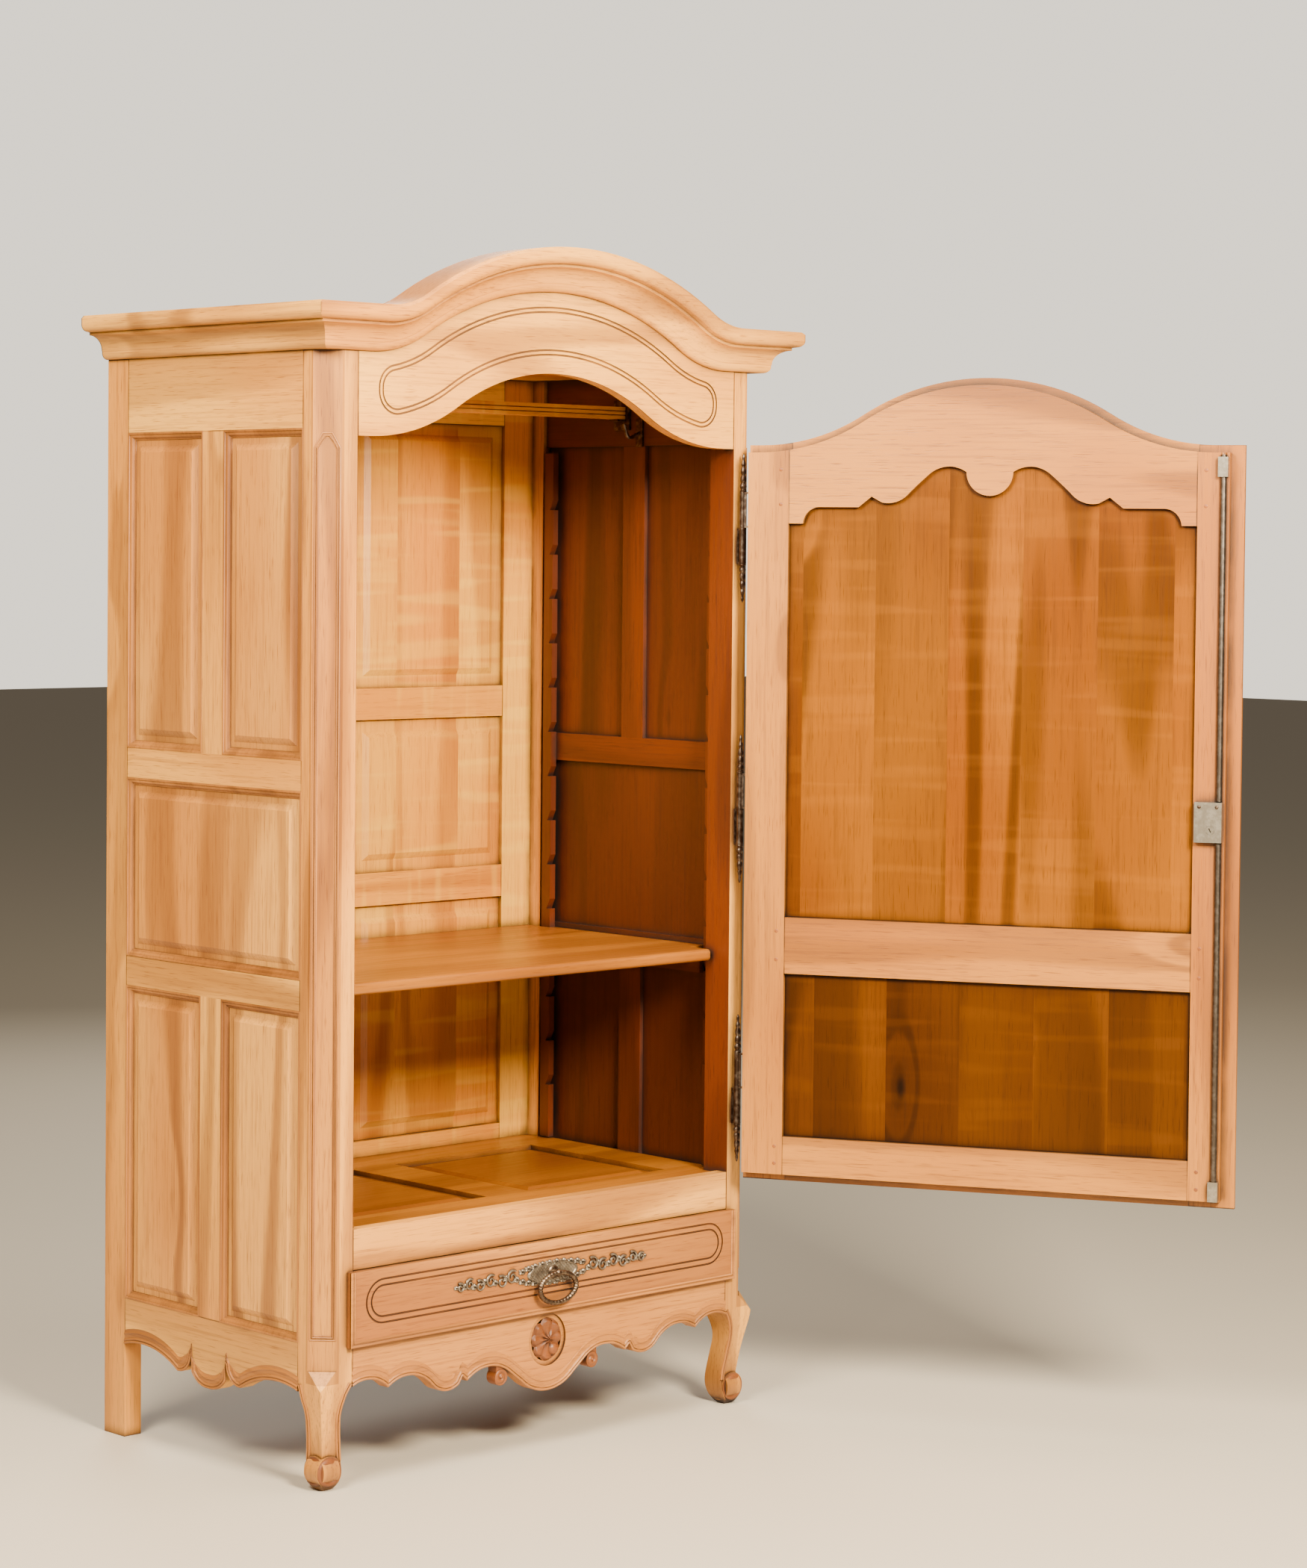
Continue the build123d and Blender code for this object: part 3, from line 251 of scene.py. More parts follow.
def makeWoodGroup():
    # grain runs along the third axis: long contour lines, fine fibres, pores, boards, a ripple lightened as painted
    # sheen, and dirt with painted shade in the corners
    inputs = [
        ("Vector", "NodeSocketVector", None),
        ("Pale", "NodeSocketColor", (0.7, 0.5, 0.3, 1)),
        ("Warm", "NodeSocketColor", (0.6, 0.35, 0.2, 1)),
        ("Line", "NodeSocketColor", (0.35, 0.2, 0.1, 1)),
        ("Deep", "NodeSocketColor", (0.08, 0.03, 0.015, 1)),
        *((label, "NodeSocketFloat", value) for label, value in woodAmounts.items()),
    ]
    group, net, given, target = newGroup("woodGrain", inputs)
    place = given["Vector"]
    index = net.math("FLOOR", net.math("DIVIDE", net.axes(place)["X"], given["Board Width"]))
    chance = net.add("ShaderNodeTexWhiteNoise", {"W": index}, noise_dimensions="1D").outputs["Value"]
    shift = net.times(net.times(chance, 7.0), net.ramp(given["Board"], 0.0, 0.05))
    step = net.add("ShaderNodeCombineXYZ", {0: shift, 2: shift}).outputs[0]
    flow = net.add("ShaderNodeVectorMath", {0: place, 1: step}).outputs[0]
    knotCell = net.add("ShaderNodeTexVoronoi", {"Vector": net.stretch(flow, grainScales["knots"]), "Scale": 1.0})
    knotGap = knotCell.outputs["Distance"]
    knotChance = net.add("ShaderNodeSeparateColor", {0: knotCell.outputs["Color"]}).outputs[0]
    knotHere = net.times(net.math("GREATER_THAN", knotChance, knotFree), given["Knots"])
    knot = net.times(net.ramp(knotGap, 0.02, 0.085, 1.0, 0.0), knotHere)
    knotHalo = net.times(net.ramp(knotGap, 0.05, 0.4, 1.0, 0.0), knotHere)
    broad = net.noise(net.stretch(flow, grainScales["broad"]), 1.0, 1.5, 0.45, 0.25)
    bent = net.math("ADD", broad, net.times(knotHalo, 0.22))
    wave = net.math("SINE", net.times(bent, given["Rings"]))
    line = net.ramp(wave, -0.2, 1.0)
    lineHere = net.times(net.noise(net.stretch(flow, grainScales["lines"]), 1.0, 1.0), 1.4)
    lineAmount = net.times(net.times(line, lineHere), given["Figure"])
    fibre = net.noise(net.stretch(flow, grainScales["fibre"]), 1.0, 3.0, 0.6)
    pore = net.ramp(net.noise(net.stretch(flow, grainScales["pores"]), 1.0, 1.0), 0.6, 0.72)
    patch = net.noise(net.stretch(flow, grainScales["patches"]), 1.0, 2.0, 0.55)
    ripple = net.noise(net.stretch(flow, grainScales["ripple"]), 1.0, 1.0, 0.5, 0.4)
    color = net.mix(net.ramp(patch, 0.32, 0.68), given["Pale"], given["Warm"])
    boardAmount = net.times(chance, given["Board"])
    color = net.mix(boardAmount, color, net.mix(1.0, color, given["Line"], "MULTIPLY"))
    color = net.mix(lineAmount, color, net.mix(0.8, color, given["Line"]))
    fibreAmount = net.times(net.ramp(fibre, 0.45, 0.75), given["Fibre"])
    color = net.mix(fibreAmount, color, net.mix(0.75, color, given["Line"]))
    color = net.mix(net.times(pore, given["Fibre"]), color, given["Line"])
    # painted sheen: the ripple figure is lightened in bands as a glossy shimmer
    rippleSheenAmount = net.times(net.ramp(ripple, 0.5, 0.7), given["Ripple Sheen"])
    color = net.mix(rippleSheenAmount, color, net.mix(1.0, color, given["Pale"], "SCREEN"))
    color = net.mix(knotHalo, color, net.mix(0.35, color, given["Line"]))
    color = net.mix(knot, color, given["Deep"])
    # painted shade with dirt: the colour is darkened toward the deep tone wherever nearby surfaces shut this one in
    openness = net.add("ShaderNodeAmbientOcclusion", {"Distance": cornerDirtAndShade["reach"]}, samples=6).outputs["AO"]
    dirtAndShade = net.times(net.ramp(openness, cornerDirtAndShade["darkest"], cornerDirtAndShade["untouched"], 1.0, 0.0), given["Dirt And Shade"])
    dirtAndShadePatch = net.ramp(net.noise(place, cornerDirtAndShade["patchScale"], 3.0), 0.25, 0.6, 0.45, 1.0)
    dirtAndShadeBroken = net.times(dirtAndShade, dirtAndShadePatch)
    color = net.mix(dirtAndShadeBroken, color, given["Deep"])
    rough = net.math("MULTIPLY_ADD", fibre, 0.25, net.times(dirtAndShade, 0.2))
    height = net.math("SUBTRACT", net.times(fibre, 0.6), net.times(pore, 0.5))
    height = net.math("SUBTRACT", height, net.times(line, 0.1))
    net.feed(target, {"Color": color, "Rough": rough, "Height": height})
    return group


woodGroup = makeWoodGroup()

# colours as they look, 0 to 255: pale, warm, line and deep; then how strong each effect is
woods = {
    "case": {"tones": ((236, 172, 74), (208, 136, 48), (110, 56, 14), (46, 15, 2)),
             "Figure": 0.75, "Fibre": 0.5, "Knots": 0.7, "rough": 0.42},
    "panel": {"tones": ((236, 170, 76), (208, 136, 52), (112, 56, 16), (44, 14, 2)),
              "Figure": 0.9, "Fibre": 0.5, "Knots": 0.3, "Board": 0.5, "Board Width": 0.07, "rough": 0.42},
    # painted shade: the apron and drawer take a darker copy of the case wood, as the light falls off towards the floor
    "low": {"tones": ((200, 134, 56), (172, 104, 36), (98, 46, 12), (38, 13, 2)),
            "Figure": 0.7, "Fibre": 0.5, "Knots": 0.6, "rough": 0.4},
    "moulding": {"tones": ((178, 114, 46), (150, 90, 30), (82, 40, 10), (32, 11, 2)),
                 "Figure": 0.5, "rough": 0.42},
    "foot": {"tones": ((132, 74, 30), (108, 56, 20), (72, 34, 10), (26, 9, 2)),
             "Figure": 0.4, "rough": 0.4},
    "carving": {"tones": ((152, 88, 36), (126, 68, 24), (82, 40, 12), (26, 9, 2)),
                "Figure": 0.4, "rough": 0.4},
    "back": {"tones": ((255, 192, 62), (236, 150, 30), (140, 70, 6), (40, 13, 1)),
             "Figure": 0.8, "Board": 0.6, "Board Width": 0.16, "Ripple Sheen": 0.18, "Dirt And Shade": 0.9, "rough": 0.34},
    # the inside wood: dark partly in its own colour and partly as painted shade for the shut-in carcass
    "inside": {"tones": ((100, 40, 2), (78, 27, 1), (46, 12, 0), (16, 4, 0)),
               "Figure": 0.7, "Dirt And Shade": 0.9, "rough": 0.38},
    "shelf": {"tones": ((174, 108, 20), (150, 84, 10), (92, 44, 3), (32, 11, 1)),
              "Figure": 0.7, "Board": 0.4, "Board Width": 0.19, "Dirt And Shade": 0.9, "rough": 0.34},
    "doorFrame": {"tones": ((184, 120, 40), (158, 92, 24), (84, 40, 6), (30, 10, 1)),
                  "Figure": 0.75, "Fibre": 0.45, "Knots": 0.9, "rough": 0.38},
    "doorPanel": {"tones": ((138, 80, 0), (112, 57, 0), (52, 24, 0), (20, 6, 0)),
                  "Figure": 1.0, "Board": 0.45, "Board Width": 0.14, "Ripple Sheen": 0.12, "Knots": 0.9,
                  "Dirt And Shade": 0.9, "rough": 0.34, "gloss": 0.12},
    # painted shade: the lower door panel is the upper panel's wood painted darker, as less light falls low on the door
    "doorLower": {"tones": ((104, 56, 0), (82, 40, 0), (40, 16, 0), (16, 5, 0)),
                  "Figure": 1.0, "Board": 0.45, "Board Width": 0.14, "Ripple Sheen": 0.1, "Knots": 0.9,
                  "Dirt And Shade": 0.9, "rough": 0.34, "gloss": 0.12},
}


def plainTone(tone):
    # from the colour as it looks to the colour as light adds up
    part = np.array(tone) / 255.0
    linear = np.where(part <= 0.04045, part / 12.92, ((part + 0.055) / 1.055) ** 2.4)
    return (*(float(value) for value in linear), 1.0)


grainTurns = {"up": (0, 0, 0), "along": (0, math.pi / 2, 0), "deep": (math.pi / 2, 0, 0)}
grainAxes = {"up": "Z", "along": "X", "deep": "Y"}
seam = {"dark": 0.0008, "clear": 0.0030}
# bands measured back from the corner the cant was cut off, where the cant takes painted shade, and heights above the
# floor, below which the feet are painted darker
postTones = {"cant": (0.0415, 0.0390), "cantShade": 0.62, "cantLow": 0.19, "feet": (0.05, 0.12), "feetShade": 0.7}
groove = {"flat": 0.0004, "dark": 0.0010, "deepest": 0.0032, "shade": 0.85}
# multiplied in as dark wax on the groove floors and as painted shade on the canted corners
waxAndShadeTone = (0.42, 0.33, 0.26, 1)
innerReach = {"side": 0.0175, "mouth": 0.0006, "postBack": 0.0012, "friezeBack": 0.0006}


def seamMask(net, place, facing, ends):
    # a hair line where a board's end meets the next piece
    axis, low, high = ends
    way = net.axes(place)[axis]
    nearest = net.math("MINIMUM", net.math("SUBTRACT", way, low), net.math("SUBTRACT", high, way))
    close = net.ramp(nearest, seam["dark"], seam["clear"], 1.0, 0.0)
    broken = net.ramp(net.noise(place, 14.0, 2.0), 0.3, 0.6, 0.35, 0.95)
    # an end face looks along the grain and takes no line
    sideways = net.ramp(net.math("ABSOLUTE", net.axes(facing)[axis]), 0.4, 0.7, 1.0, 0.0)
    return net.times(net.times(close, broken), sideways)


def postShade(net, place):
    # painted shade: the canted corners are painted darker, as they are turned from the light; the feet are painted
    # darker towards the floor
    parts = net.axes(place)
    reach = net.math("SUBTRACT", net.math("ABSOLUTE", parts["X"]), parts["Y"])
    first, last = (halfWidth - frontFace - back for back in postTones["cant"])
    canted = net.ramp(reach, first, last, 0.0, postTones["cantShade"])
    high = net.math("GREATER_THAN", parts["Z"], postTones["cantLow"])
    feet = net.ramp(parts["Z"], *postTones["feet"], postTones["feetShade"], 0.0)
    return net.math("MAXIMUM", net.times(canted, high), feet)


def grooveShade(face):
    # the floors of incised lines, just behind a flat face, have filled with dark wax
    def shade(net, place):
        depth = net.math("SUBTRACT", net.axes(place)["Y"], face)
        dark = net.ramp(depth, groove["flat"], groove["dark"], 0.0, groove["shade"])
        return net.times(dark, net.math("LESS_THAN", depth, groove["deepest"]))

    return shade


def shadeOf(name):
    if name in ("front_left_post", "front_right_post"):
        return postShade
    if name in ("frieze", "drawer_front"):
        return grooveShade(float(lowHigh(name)[0][1]))
    return None


def makeWood(name, kind, grain, turn=0.0, inner=None, ends=None, shade=None):
    # turn is the piece's own direction about the upright, so the grain keeps to a door that stands open
    values = woods[kind]
    material, net, shader = newMaterial(name)
    # each name starts its grain at a place of its own
    seed = sum((step + 1) * ord(letter) for step, letter in enumerate(name)) % 97
    place = net.add("ShaderNodeTexCoord").outputs["Object"]
    squared = net.add("ShaderNodeMapping", {"Vector": place, "Rotation": (0, 0, turn)}).outputs[0]
    turned = net.add("ShaderNodeMapping", {"Vector": squared, "Rotation": grainTurns[grain]}).outputs[0]
    start = (seed * 0.37, seed * 0.61, seed * 0.23)
    placed = net.add("ShaderNodeMapping", {"Vector": turned, "Location": start}).outputs[0]
    # inward faces take the inside wood's darker tones: partly that wood's own colour, partly painted shade
    shut = inner(net, place) if inner else None
    inputs = {"Vector": placed, **{key: values[key] for key in woodAmounts if key in values}}
    for key, own, dark in zip(("Pale", "Warm", "Line", "Deep"), values["tones"], woods["inside"]["tones"]):
        inputs[key] = net.mix(shut, plainTone(own), plainTone(dark)) if shut else plainTone(own)
    grainNode = net.add("ShaderNodeGroup", inputs, node_tree=woodGroup)
    color = grainNode.outputs["Color"]
    # the canted post faces take painted shade here, and the groove floors take dark wax
    if shade:
        color = net.mix(shade(net, place), color, net.mix(1.0, color, waxAndShadeTone, "MULTIPLY"))
    if ends:
        normal = net.add("ShaderNodeTexCoord").outputs["Normal"]
        toPiece = {"Vector": normal, "Rotation": (0, 0, turn)}
        facing = net.add("ShaderNodeMapping", toPiece, vector_type="NORMAL").outputs[0]
        color = net.mix(seamMask(net, squared, facing, ends), color, plainTone(values["tones"][3]))
    rough = net.math("ADD", grainNode.outputs["Rough"], values["rough"] - 0.1)
    bump = net.bump(grainNode.outputs["Height"], 0.25)
    gloss = values.get("gloss", 0.5)
    net.feed(shader, {"Base Color": color, "Roughness": rough, "Normal": bump, "Specular IOR Level": gloss})
    return material


def dress(name, material):
    # give a CAD node its material
    mesh = nodes[name].data
    mesh.materials.clear()
    mesh.materials.append(material)


def sideInner(net, place):
    # the faces of the two sides that look into the carcass
    away = net.math("ABSOLUTE", net.axes(place)["X"])
    return net.math("LESS_THAN", away, halfWidth - innerReach["side"])


def postInner(net, place):
    # the faces of the front posts that look at the opening or at the back
    parts = net.axes(place)
    mouth = net.math("LESS_THAN", net.math("ABSOLUTE", parts["X"]), openingHalf + innerReach["mouth"])
    postBack = lowHigh("front_left_post")[1][1]
    behind = net.math("GREATER_THAN", parts["Y"], postBack - innerReach["postBack"])
    return net.times(net.math("MAXIMUM", mouth, behind), net.math("GREATER_THAN", parts["Z"], sillBottom))


def friezeInner(net, place):
    # the backs of the frieze and the sill rail
    return net.math("GREATER_THAN", net.axes(place)["Y"], float(friezeHigh[1]) - innerReach["friezeBack"])


def innerOf(name):
    if name in ("front_left_post", "front_right_post"):
        return postInner
    if name in ("frieze", "sill_rail"):
        return friezeInner
    if name.startswith(("left_", "right_")) and "apron" not in name:
        return sideInner
    return None


def endsOf(name, grain, turn):
    # the two ends of a node's boards along their grain, in the piece's own direction
    mesh = nodes[name].data
    corners = np.empty(len(mesh.vertices) * 3)
    mesh.vertices.foreach_get("co", corners)
    corners = corners.reshape(-1, 3)
    cosine, sine = math.cos(turn), math.sin(turn)
    level = {
        "along": cosine * corners[:, 0] - sine * corners[:, 1],
        "deep": sine * corners[:, 0] + cosine * corners[:, 1],
        "up": corners[:, 2],
    }[grain]
    return grainAxes[grain], float(level.min()), float(level.max())


def pairs(*names):
    return [f"{side}_{name}" for name in names for side in ("left", "right")]


woodNodes = {
    "case": {
        "up": ["front_left_post", "front_right_post", "rear_left_post", "rear_right_post", *pairs("side_muntins")],
        "along": ["frieze", "sill_rail", "cornice_front"],
        "deep": ["cornice_left", "cornice_right", *pairs("side_top_rail", "side_mid_rails", "side_apron")],
    },
    "low": {"along": ["front_apron", "drawer_front"]},
    "carving": {"along": ["rosette", "scroll_drops"]},
    "panel": {"up": pairs("upper_panels", "lower_panels")},
    "back": {"up": ["back_panels", "back_uprights"], "along": ["back_rails", "roof", "hanging_rail"]},
    "shelf": {"along": ["shelf", "floor_panels", "floor_frame"]},
    "inside": {"up": ["shelf_racks"], "deep": ["shelf_cleats", "drawer_runners", "drawer_sides"],
               "along": ["drawer_back", "drawer_bottom"]},
    "doorFrame": {"up": ["door_hinge_stile", "door_lock_stile"],
                  "along": ["door_top_rail", "door_mid_rail", "door_bottom_rail"]},
    "doorPanel": {"up": ["door_upper_panel"]},
    "doorLower": {"up": ["door_lower_panel"]},
}
for kind, ways in woodNodes.items():
    for grain, names in ways.items():
        for nodeName in names:
            turn = openTurn if nodeName.startswith("door_") else 0.0
            ends = endsOf(nodeName, grain, turn)
            shade = shadeOf(nodeName)
            dress(nodeName, makeWood(nodeName, kind, grain, turn, innerOf(nodeName), ends, shade))

metals = {
    "iron": {"tone": (74, 58, 48), "worn": (150, 138, 126), "rough": 0.42, "wear": 0.5},
    "nickel": {"tone": (158, 150, 136), "worn": (200, 194, 182), "rough": 0.36, "wear": 0.5},
    "pewter": {"tone": (128, 116, 102), "worn": (176, 166, 152), "rough": 0.4, "wear": 0.6},
    "bronze": {"tone": (82, 66, 54), "worn": (150, 132, 112), "rough": 0.34, "wear": 0.5},
    "rod": {"tone": (92, 82, 74), "worn": (140, 132, 124), "rough": 0.36, "wear": 0.4},
}


# dirt and painted shade in shut-in places: how far to look, the openness where it is darkest and untouched, how strong
# and how dark
metalDirtAndShade = {"reach": 0.006, "darkest": 0.2, "untouched": 0.85, "amount": 0.75, "tone": (0.01, 0.007, 0.005, 1)}


def makeMetalGroup():
    # blotches of worn metal on a darker skin, and dirt with painted shade where the surface is shut in
    inputs = [
        ("Vector", "NodeSocketVector", None),
        ("Tone", "NodeSocketColor", (0.1, 0.08, 0.07, 1)),
        ("Worn", "NodeSocketColor", (0.4, 0.38, 0.35, 1)),
        ("Wear", "NodeSocketFloat", 0.5),
    ]
    group, net, given, target = newGroup("oldMetal", inputs)
    blotch = net.noise(given["Vector"], 90.0, 4.0, 0.6)
    fine = net.noise(given["Vector"], 700.0, 2.0, 0.6)
    worn = net.times(net.ramp(blotch, 0.42, 0.66), given["Wear"])
    color = net.mix(worn, given["Tone"], given["Worn"])
    # painted shade with dirt: darkened wherever nearby metal shuts the surface in
    openness = net.add("ShaderNodeAmbientOcclusion", {"Distance": metalDirtAndShade["reach"]}, samples=6).outputs["AO"]
    dirtAndShade = net.ramp(openness, metalDirtAndShade["darkest"], metalDirtAndShade["untouched"], metalDirtAndShade["amount"], 0.0)
    color = net.mix(dirtAndShade, color, metalDirtAndShade["tone"])
    height = net.math("ADD", net.times(blotch, 0.7), net.times(fine, 0.3))
    net.feed(target, {"Color": color, "Rough": net.times(fine, 0.3), "Height": height})
    return group


metalGroup = makeMetalGroup()


def makeMetal(name):
    values = metals[name]
    material, net, shader = newMaterial(name)
    place = net.add("ShaderNodeTexCoord").outputs["Object"]
    tones = {"Tone": plainTone(values["tone"]), "Worn": plainTone(values["worn"])}
    skin = net.add("ShaderNodeGroup", {"Vector": place, **tones, "Wear": values["wear"]}, node_tree=metalGroup)
    rough = net.math("ADD", skin.outputs["Rough"], values["rough"] - 0.12)
    bump = net.bump(skin.outputs["Height"], 0.3)
    net.feed(shader, {"Base Color": skin.outputs["Color"], "Roughness": rough, "Normal": bump, "Metallic": 1.0})
    return material


metalOf = {name: makeMetal(name) for name in metals}
metalNodes = {
    "iron": ["post_hinges", "door_hinges", "rail_brackets", "coat_hook"],
    "nickel": ["lock_case", "lock_cam", "rod_guides"],
    "pewter": ["drawer_plate", "escutcheon"],
    "bronze": ["ring_post", "drawer_ring"],
    "rod": ["upper_rod", "lower_rod"],
}
for metalName, names in metalNodes.items():
    for nodeName in names:
        dress(nodeName, metalOf[metalName])
print("materials")


# new surfaces
def thousandths(values):
    # drawings are in millimetres
    return np.array(values, float) / 1000


def boxOutline(left, low, right, high):
    return [(left, low), (right, low), (right, high), (left, high)]


def disc(rings, sides):
    # the part of the way out and the angle round, for every point of a round grid
    part = np.linspace(0, 1, rings)[None, :]
    angle = np.linspace(0, 2 * np.pi, sides, endpoint=False)[:, None]
    return part, angle


def joined(parts):
    # several grids of points in one mesh: each is (points, wrapU, wrapV)
    corners, faces, start = [], [], 0
    for points, wrapU, wrapV in parts:
        across, down = points.shape[:2]
        index = start + np.arange(across * down).reshape(across, down)
        first = index if wrapU else index[:-1]
        second = np.roll(index, -1, 0) if wrapU else index[1:]
        if wrapV:
            quads = (first, np.roll(first, -1, 1), np.roll(second, -1, 1), second)
        else:
            quads = (first[:, :-1], first[:, 1:], second[:, 1:], second[:, :-1])
        corners.append(points.reshape(-1, 3))
        faces.append(np.stack(quads, -1).reshape(-1, 4))
        start += across * down
    return np.concatenate(corners), np.concatenate(faces)


weldGap = 0.000002
sharpAngle = math.radians(35)


def makePiece(name, parts, material, body="carcass", replaced=(), closed=True):
    # one mesh from its grids: doubled points welded, open ends filled if asked, faces turned outward
    corners, faces = joined(parts)
    mesh = bpy.data.meshes.new(name)
    mesh.from_pydata(corners.tolist(), [], faces.tolist())
    grid = bmesh.new()
    grid.from_mesh(mesh)
    bmesh.ops.remove_doubles(grid, verts=grid.verts, dist=weldGap)
    if closed:
        bmesh.ops.holes_fill(grid, edges=[edge for edge in grid.edges if edge.is_boundary], sides=0)
    bmesh.ops.recalc_face_normals(grid, faces=grid.faces)
    grid.to_mesh(mesh)
    grid.free()
    mesh.shade_smooth()
    mesh.set_sharp_from_angle(angle=sharpAngle)
    mesh.materials.append(material)
    thing = put(name, mesh)
    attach(thing, body)
    if replaced:
        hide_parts(*replaced)
    return thing


def spread(origin, right, above, out, across, up, height):
    # a flat drawing (across, up) with heights, laid on any plane
    across, up, height = np.broadcast_arrays(across, up, height)
    return (np.array(origin) + across[..., None] * np.array(right) + up[..., None] * np.array(above)
            + height[..., None] * np.array(out))


def mitred(points, profile, plane, closed=True):
    # a profile (inset from the line, height) carried round a straight-sided outline, with mitred corners
    points = np.array(points, float)
    ahead = np.roll(points, -1, 0) - points
    ahead /= np.linalg.norm(ahead, axis=1, keepdims=True)
    inner = np.stack((-ahead[:, 1], ahead[:, 0]), 1)
    before = np.roll(inner, 1, 0)
    if not closed:
        before[0], inner[-1] = inner[0], before[-1]
    corner = (inner + before) / (1 + (inner * before).sum(1, keepdims=True))
    inset, height = np.array(profile, float).T
    across = points[:, 0, None] + corner[:, 0, None] * inset
    up = points[:, 1, None] + corner[:, 1, None] * inset
    return spread(*plane, across, up, np.broadcast_to(height, across.shape)), closed, True


def turned(origin, axis, stations, sides=28):
    # a turned shape: (distance along the axis, radius) pairs swept round the axis
    along, radius = np.array(stations, float).T
    axis = np.array(axis, float) / np.linalg.norm(axis)
    slanted = (0.31, 0.17, 0.93) if abs(axis[2]) < 0.9 else (1, 0, 0)  # any direction well off the axis
    side = np.cross(axis, slanted)
    side /= np.linalg.norm(side)
    other = np.cross(axis, side)
    angle = np.linspace(0, 2 * np.pi, sides, endpoint=False)
    ring = np.cos(angle)[:, None] * side + np.sin(angle)[:, None] * other
    points = np.array(origin) + along[:, None, None] * axis + radius[:, None, None] * ring
    return points, False, True


def tube(path, radius, sides=12, closed=False):
    # a round section carried along a path; radius may change along it
    path = np.array(path, float)
    ahead = np.roll(path, -1, 0) - np.roll(path, 1, 0)
    if not closed:
        ahead[0], ahead[-1] = path[1] - path[0], path[-1] - path[-2]
    ahead /= np.linalg.norm(ahead, axis=1, keepdims=True)
    flat = np.linalg.svd(path - path.mean(0))[2][-1]
    side = np.cross(ahead, flat)
    side /= np.linalg.norm(side, axis=1, keepdims=True)
    angle = np.linspace(0, 2 * np.pi, sides, endpoint=False)
    radius = np.broadcast_to(radius, len(path))[:, None, None]
    ring = np.cos(angle)[None, :, None] * side[:, None] + np.sin(angle)[None, :, None] * flat
    return path[:, None] + radius * ring, closed, True


def smoothLine(points, count):
    # a soft curve through points: one cubic between each two, evenly sampled
    points = np.array(points, float)
    place = np.linspace(0, len(points) - 1, count)
    base = np.clip(place.astype(int), 0, len(points) - 2)
    part = (place - base)[:, None]
    padded = np.vstack((2 * points[0] - points[1], points, 2 * points[-1] - points[-2]))
    a, b, c, d = (padded[base + step] for step in range(4))
    return 0.5 * (2 * b + (c - a) * part + (2 * a - 5 * b + 4 * c - d) * part**2 + (3 * b - a - 3 * c + d) * part**3)


def arcThrough(first, middle, last, count=24):
    # the circle through three points, from the first to the last
    first, middle, last = (np.array(point, float) for point in (first, middle, last))
    chords = np.array([middle - first, last - first])
    squares = 0.5 * np.array([middle @ middle - first @ first, last @ last - first @ first])
    centre = np.linalg.solve(chords, squares)
    angles = [math.atan2(*(point - centre)[::-1]) for point in (first, middle, last)]
    sweep = (angles[2] - angles[0]) % (2 * math.pi)
    if (angles[1] - angles[0]) % (2 * math.pi) > sweep:
        sweep -= 2 * math.pi
    angle = angles[0] + np.linspace(0, sweep, count)
    return centre + np.linalg.norm(first - centre) * np.stack((np.cos(angle), np.sin(angle)), 1)


def drawn(runs):
    # straight and round runs, mirrored about the middle, as one line from left to right
    half = []
    for run in runs:
        half.append(arcThrough(*run) if len(run) == 3 else np.linspace(*np.array(run, float), 16))
    right = np.concatenate(half) / 1000
    keep = np.append(True, np.linalg.norm(np.diff(right, axis=0), axis=1) > 1e-6)
    right = right[keep]
    return np.concatenate((right[::-1] * (-1, 1), right[1:]))


def lineGap(across, up, line):
    # how far each point lies from a many-sided line
    start, step = line[:-1], np.diff(line, axis=0)
    away = np.stack((across, up), -1)[..., None, :] - start
    part = np.clip((away * step).sum(-1) / (step**2).sum(-1), 0, 1)
    return np.linalg.norm(away - part[..., None] * step, axis=-1).min(-1)


def frontPlane(y):
    return (0, y, 0), (1, 0, 0), (0, 0, 1), (0, -1, 0)


def sidePlane(x, side):
    # x of the drawing runs along the depth, out is away from the carcass
    return (x, 0, 0), (0, 1, 0), (0, 0, 1), (side, 0, 0)


# carved edges of the aprons
carvedEdge = {
    "profile": [(0, 0.0), (0.6, 1.9), (2.4, 3.0), (4.2, 1.9), (4.8, 0.5), (5.4, 1.6), (7.2, 2.6), (9.0, 1.6),
                (9.6, 0.4), (12.5, 0.2), (16.5, 0.3), (17.2, 1.2), (18.6, 1.5), (20.5, 0.7), (23.0, 0.15)],
    "beads": 9,  # how many points of the profile run on down the legs
    "reach": 27.0,
    "rows": 34,
    "bunching": 1.25,  # rows crowd towards the shaped edge
    "step": 0.0011,
    "sunkTop": -0.0006,
    "sunkBack": -0.0012,
}


def carvedRim(line, plane, values):
    # height depends only on the distance from the shaped edge, so the beads mitre at each cusp
    gap, height = thousandths(values["profile"]).T
    columns = int((line[-1, 0] - line[0, 0]) / values["step"])
    across = np.linspace(line[0, 0], line[-1, 0], columns)
    order = np.argsort(line[:, 0], kind="stable")
    edge = np.interp(across, line[order, 0], line[order, 1])
    rise = np.linspace(0, 1, values["rows"]) ** values["bunching"] * values["reach"] / 1000
    up = edge[:, None] + rise
    wide = np.repeat(across[:, None], values["rows"], 1)
    block = 60  # columns measured at a time, to keep the arrays small
    away = np.concatenate([lineGap(wide[i:i + block], up[i:i + block], line) for i in range(0, columns, block)])
    relief = np.interp(away, gap, height)
    relief[:, -1] = values["sunkTop"]
    front = spread(*plane, wide, up, relief)
    back = spread(*plane, wide[:, [0]], up[:, [0]], np.full((columns, 1), values["sunkBack"]))
    return np.concatenate((back, front), 1), False, True


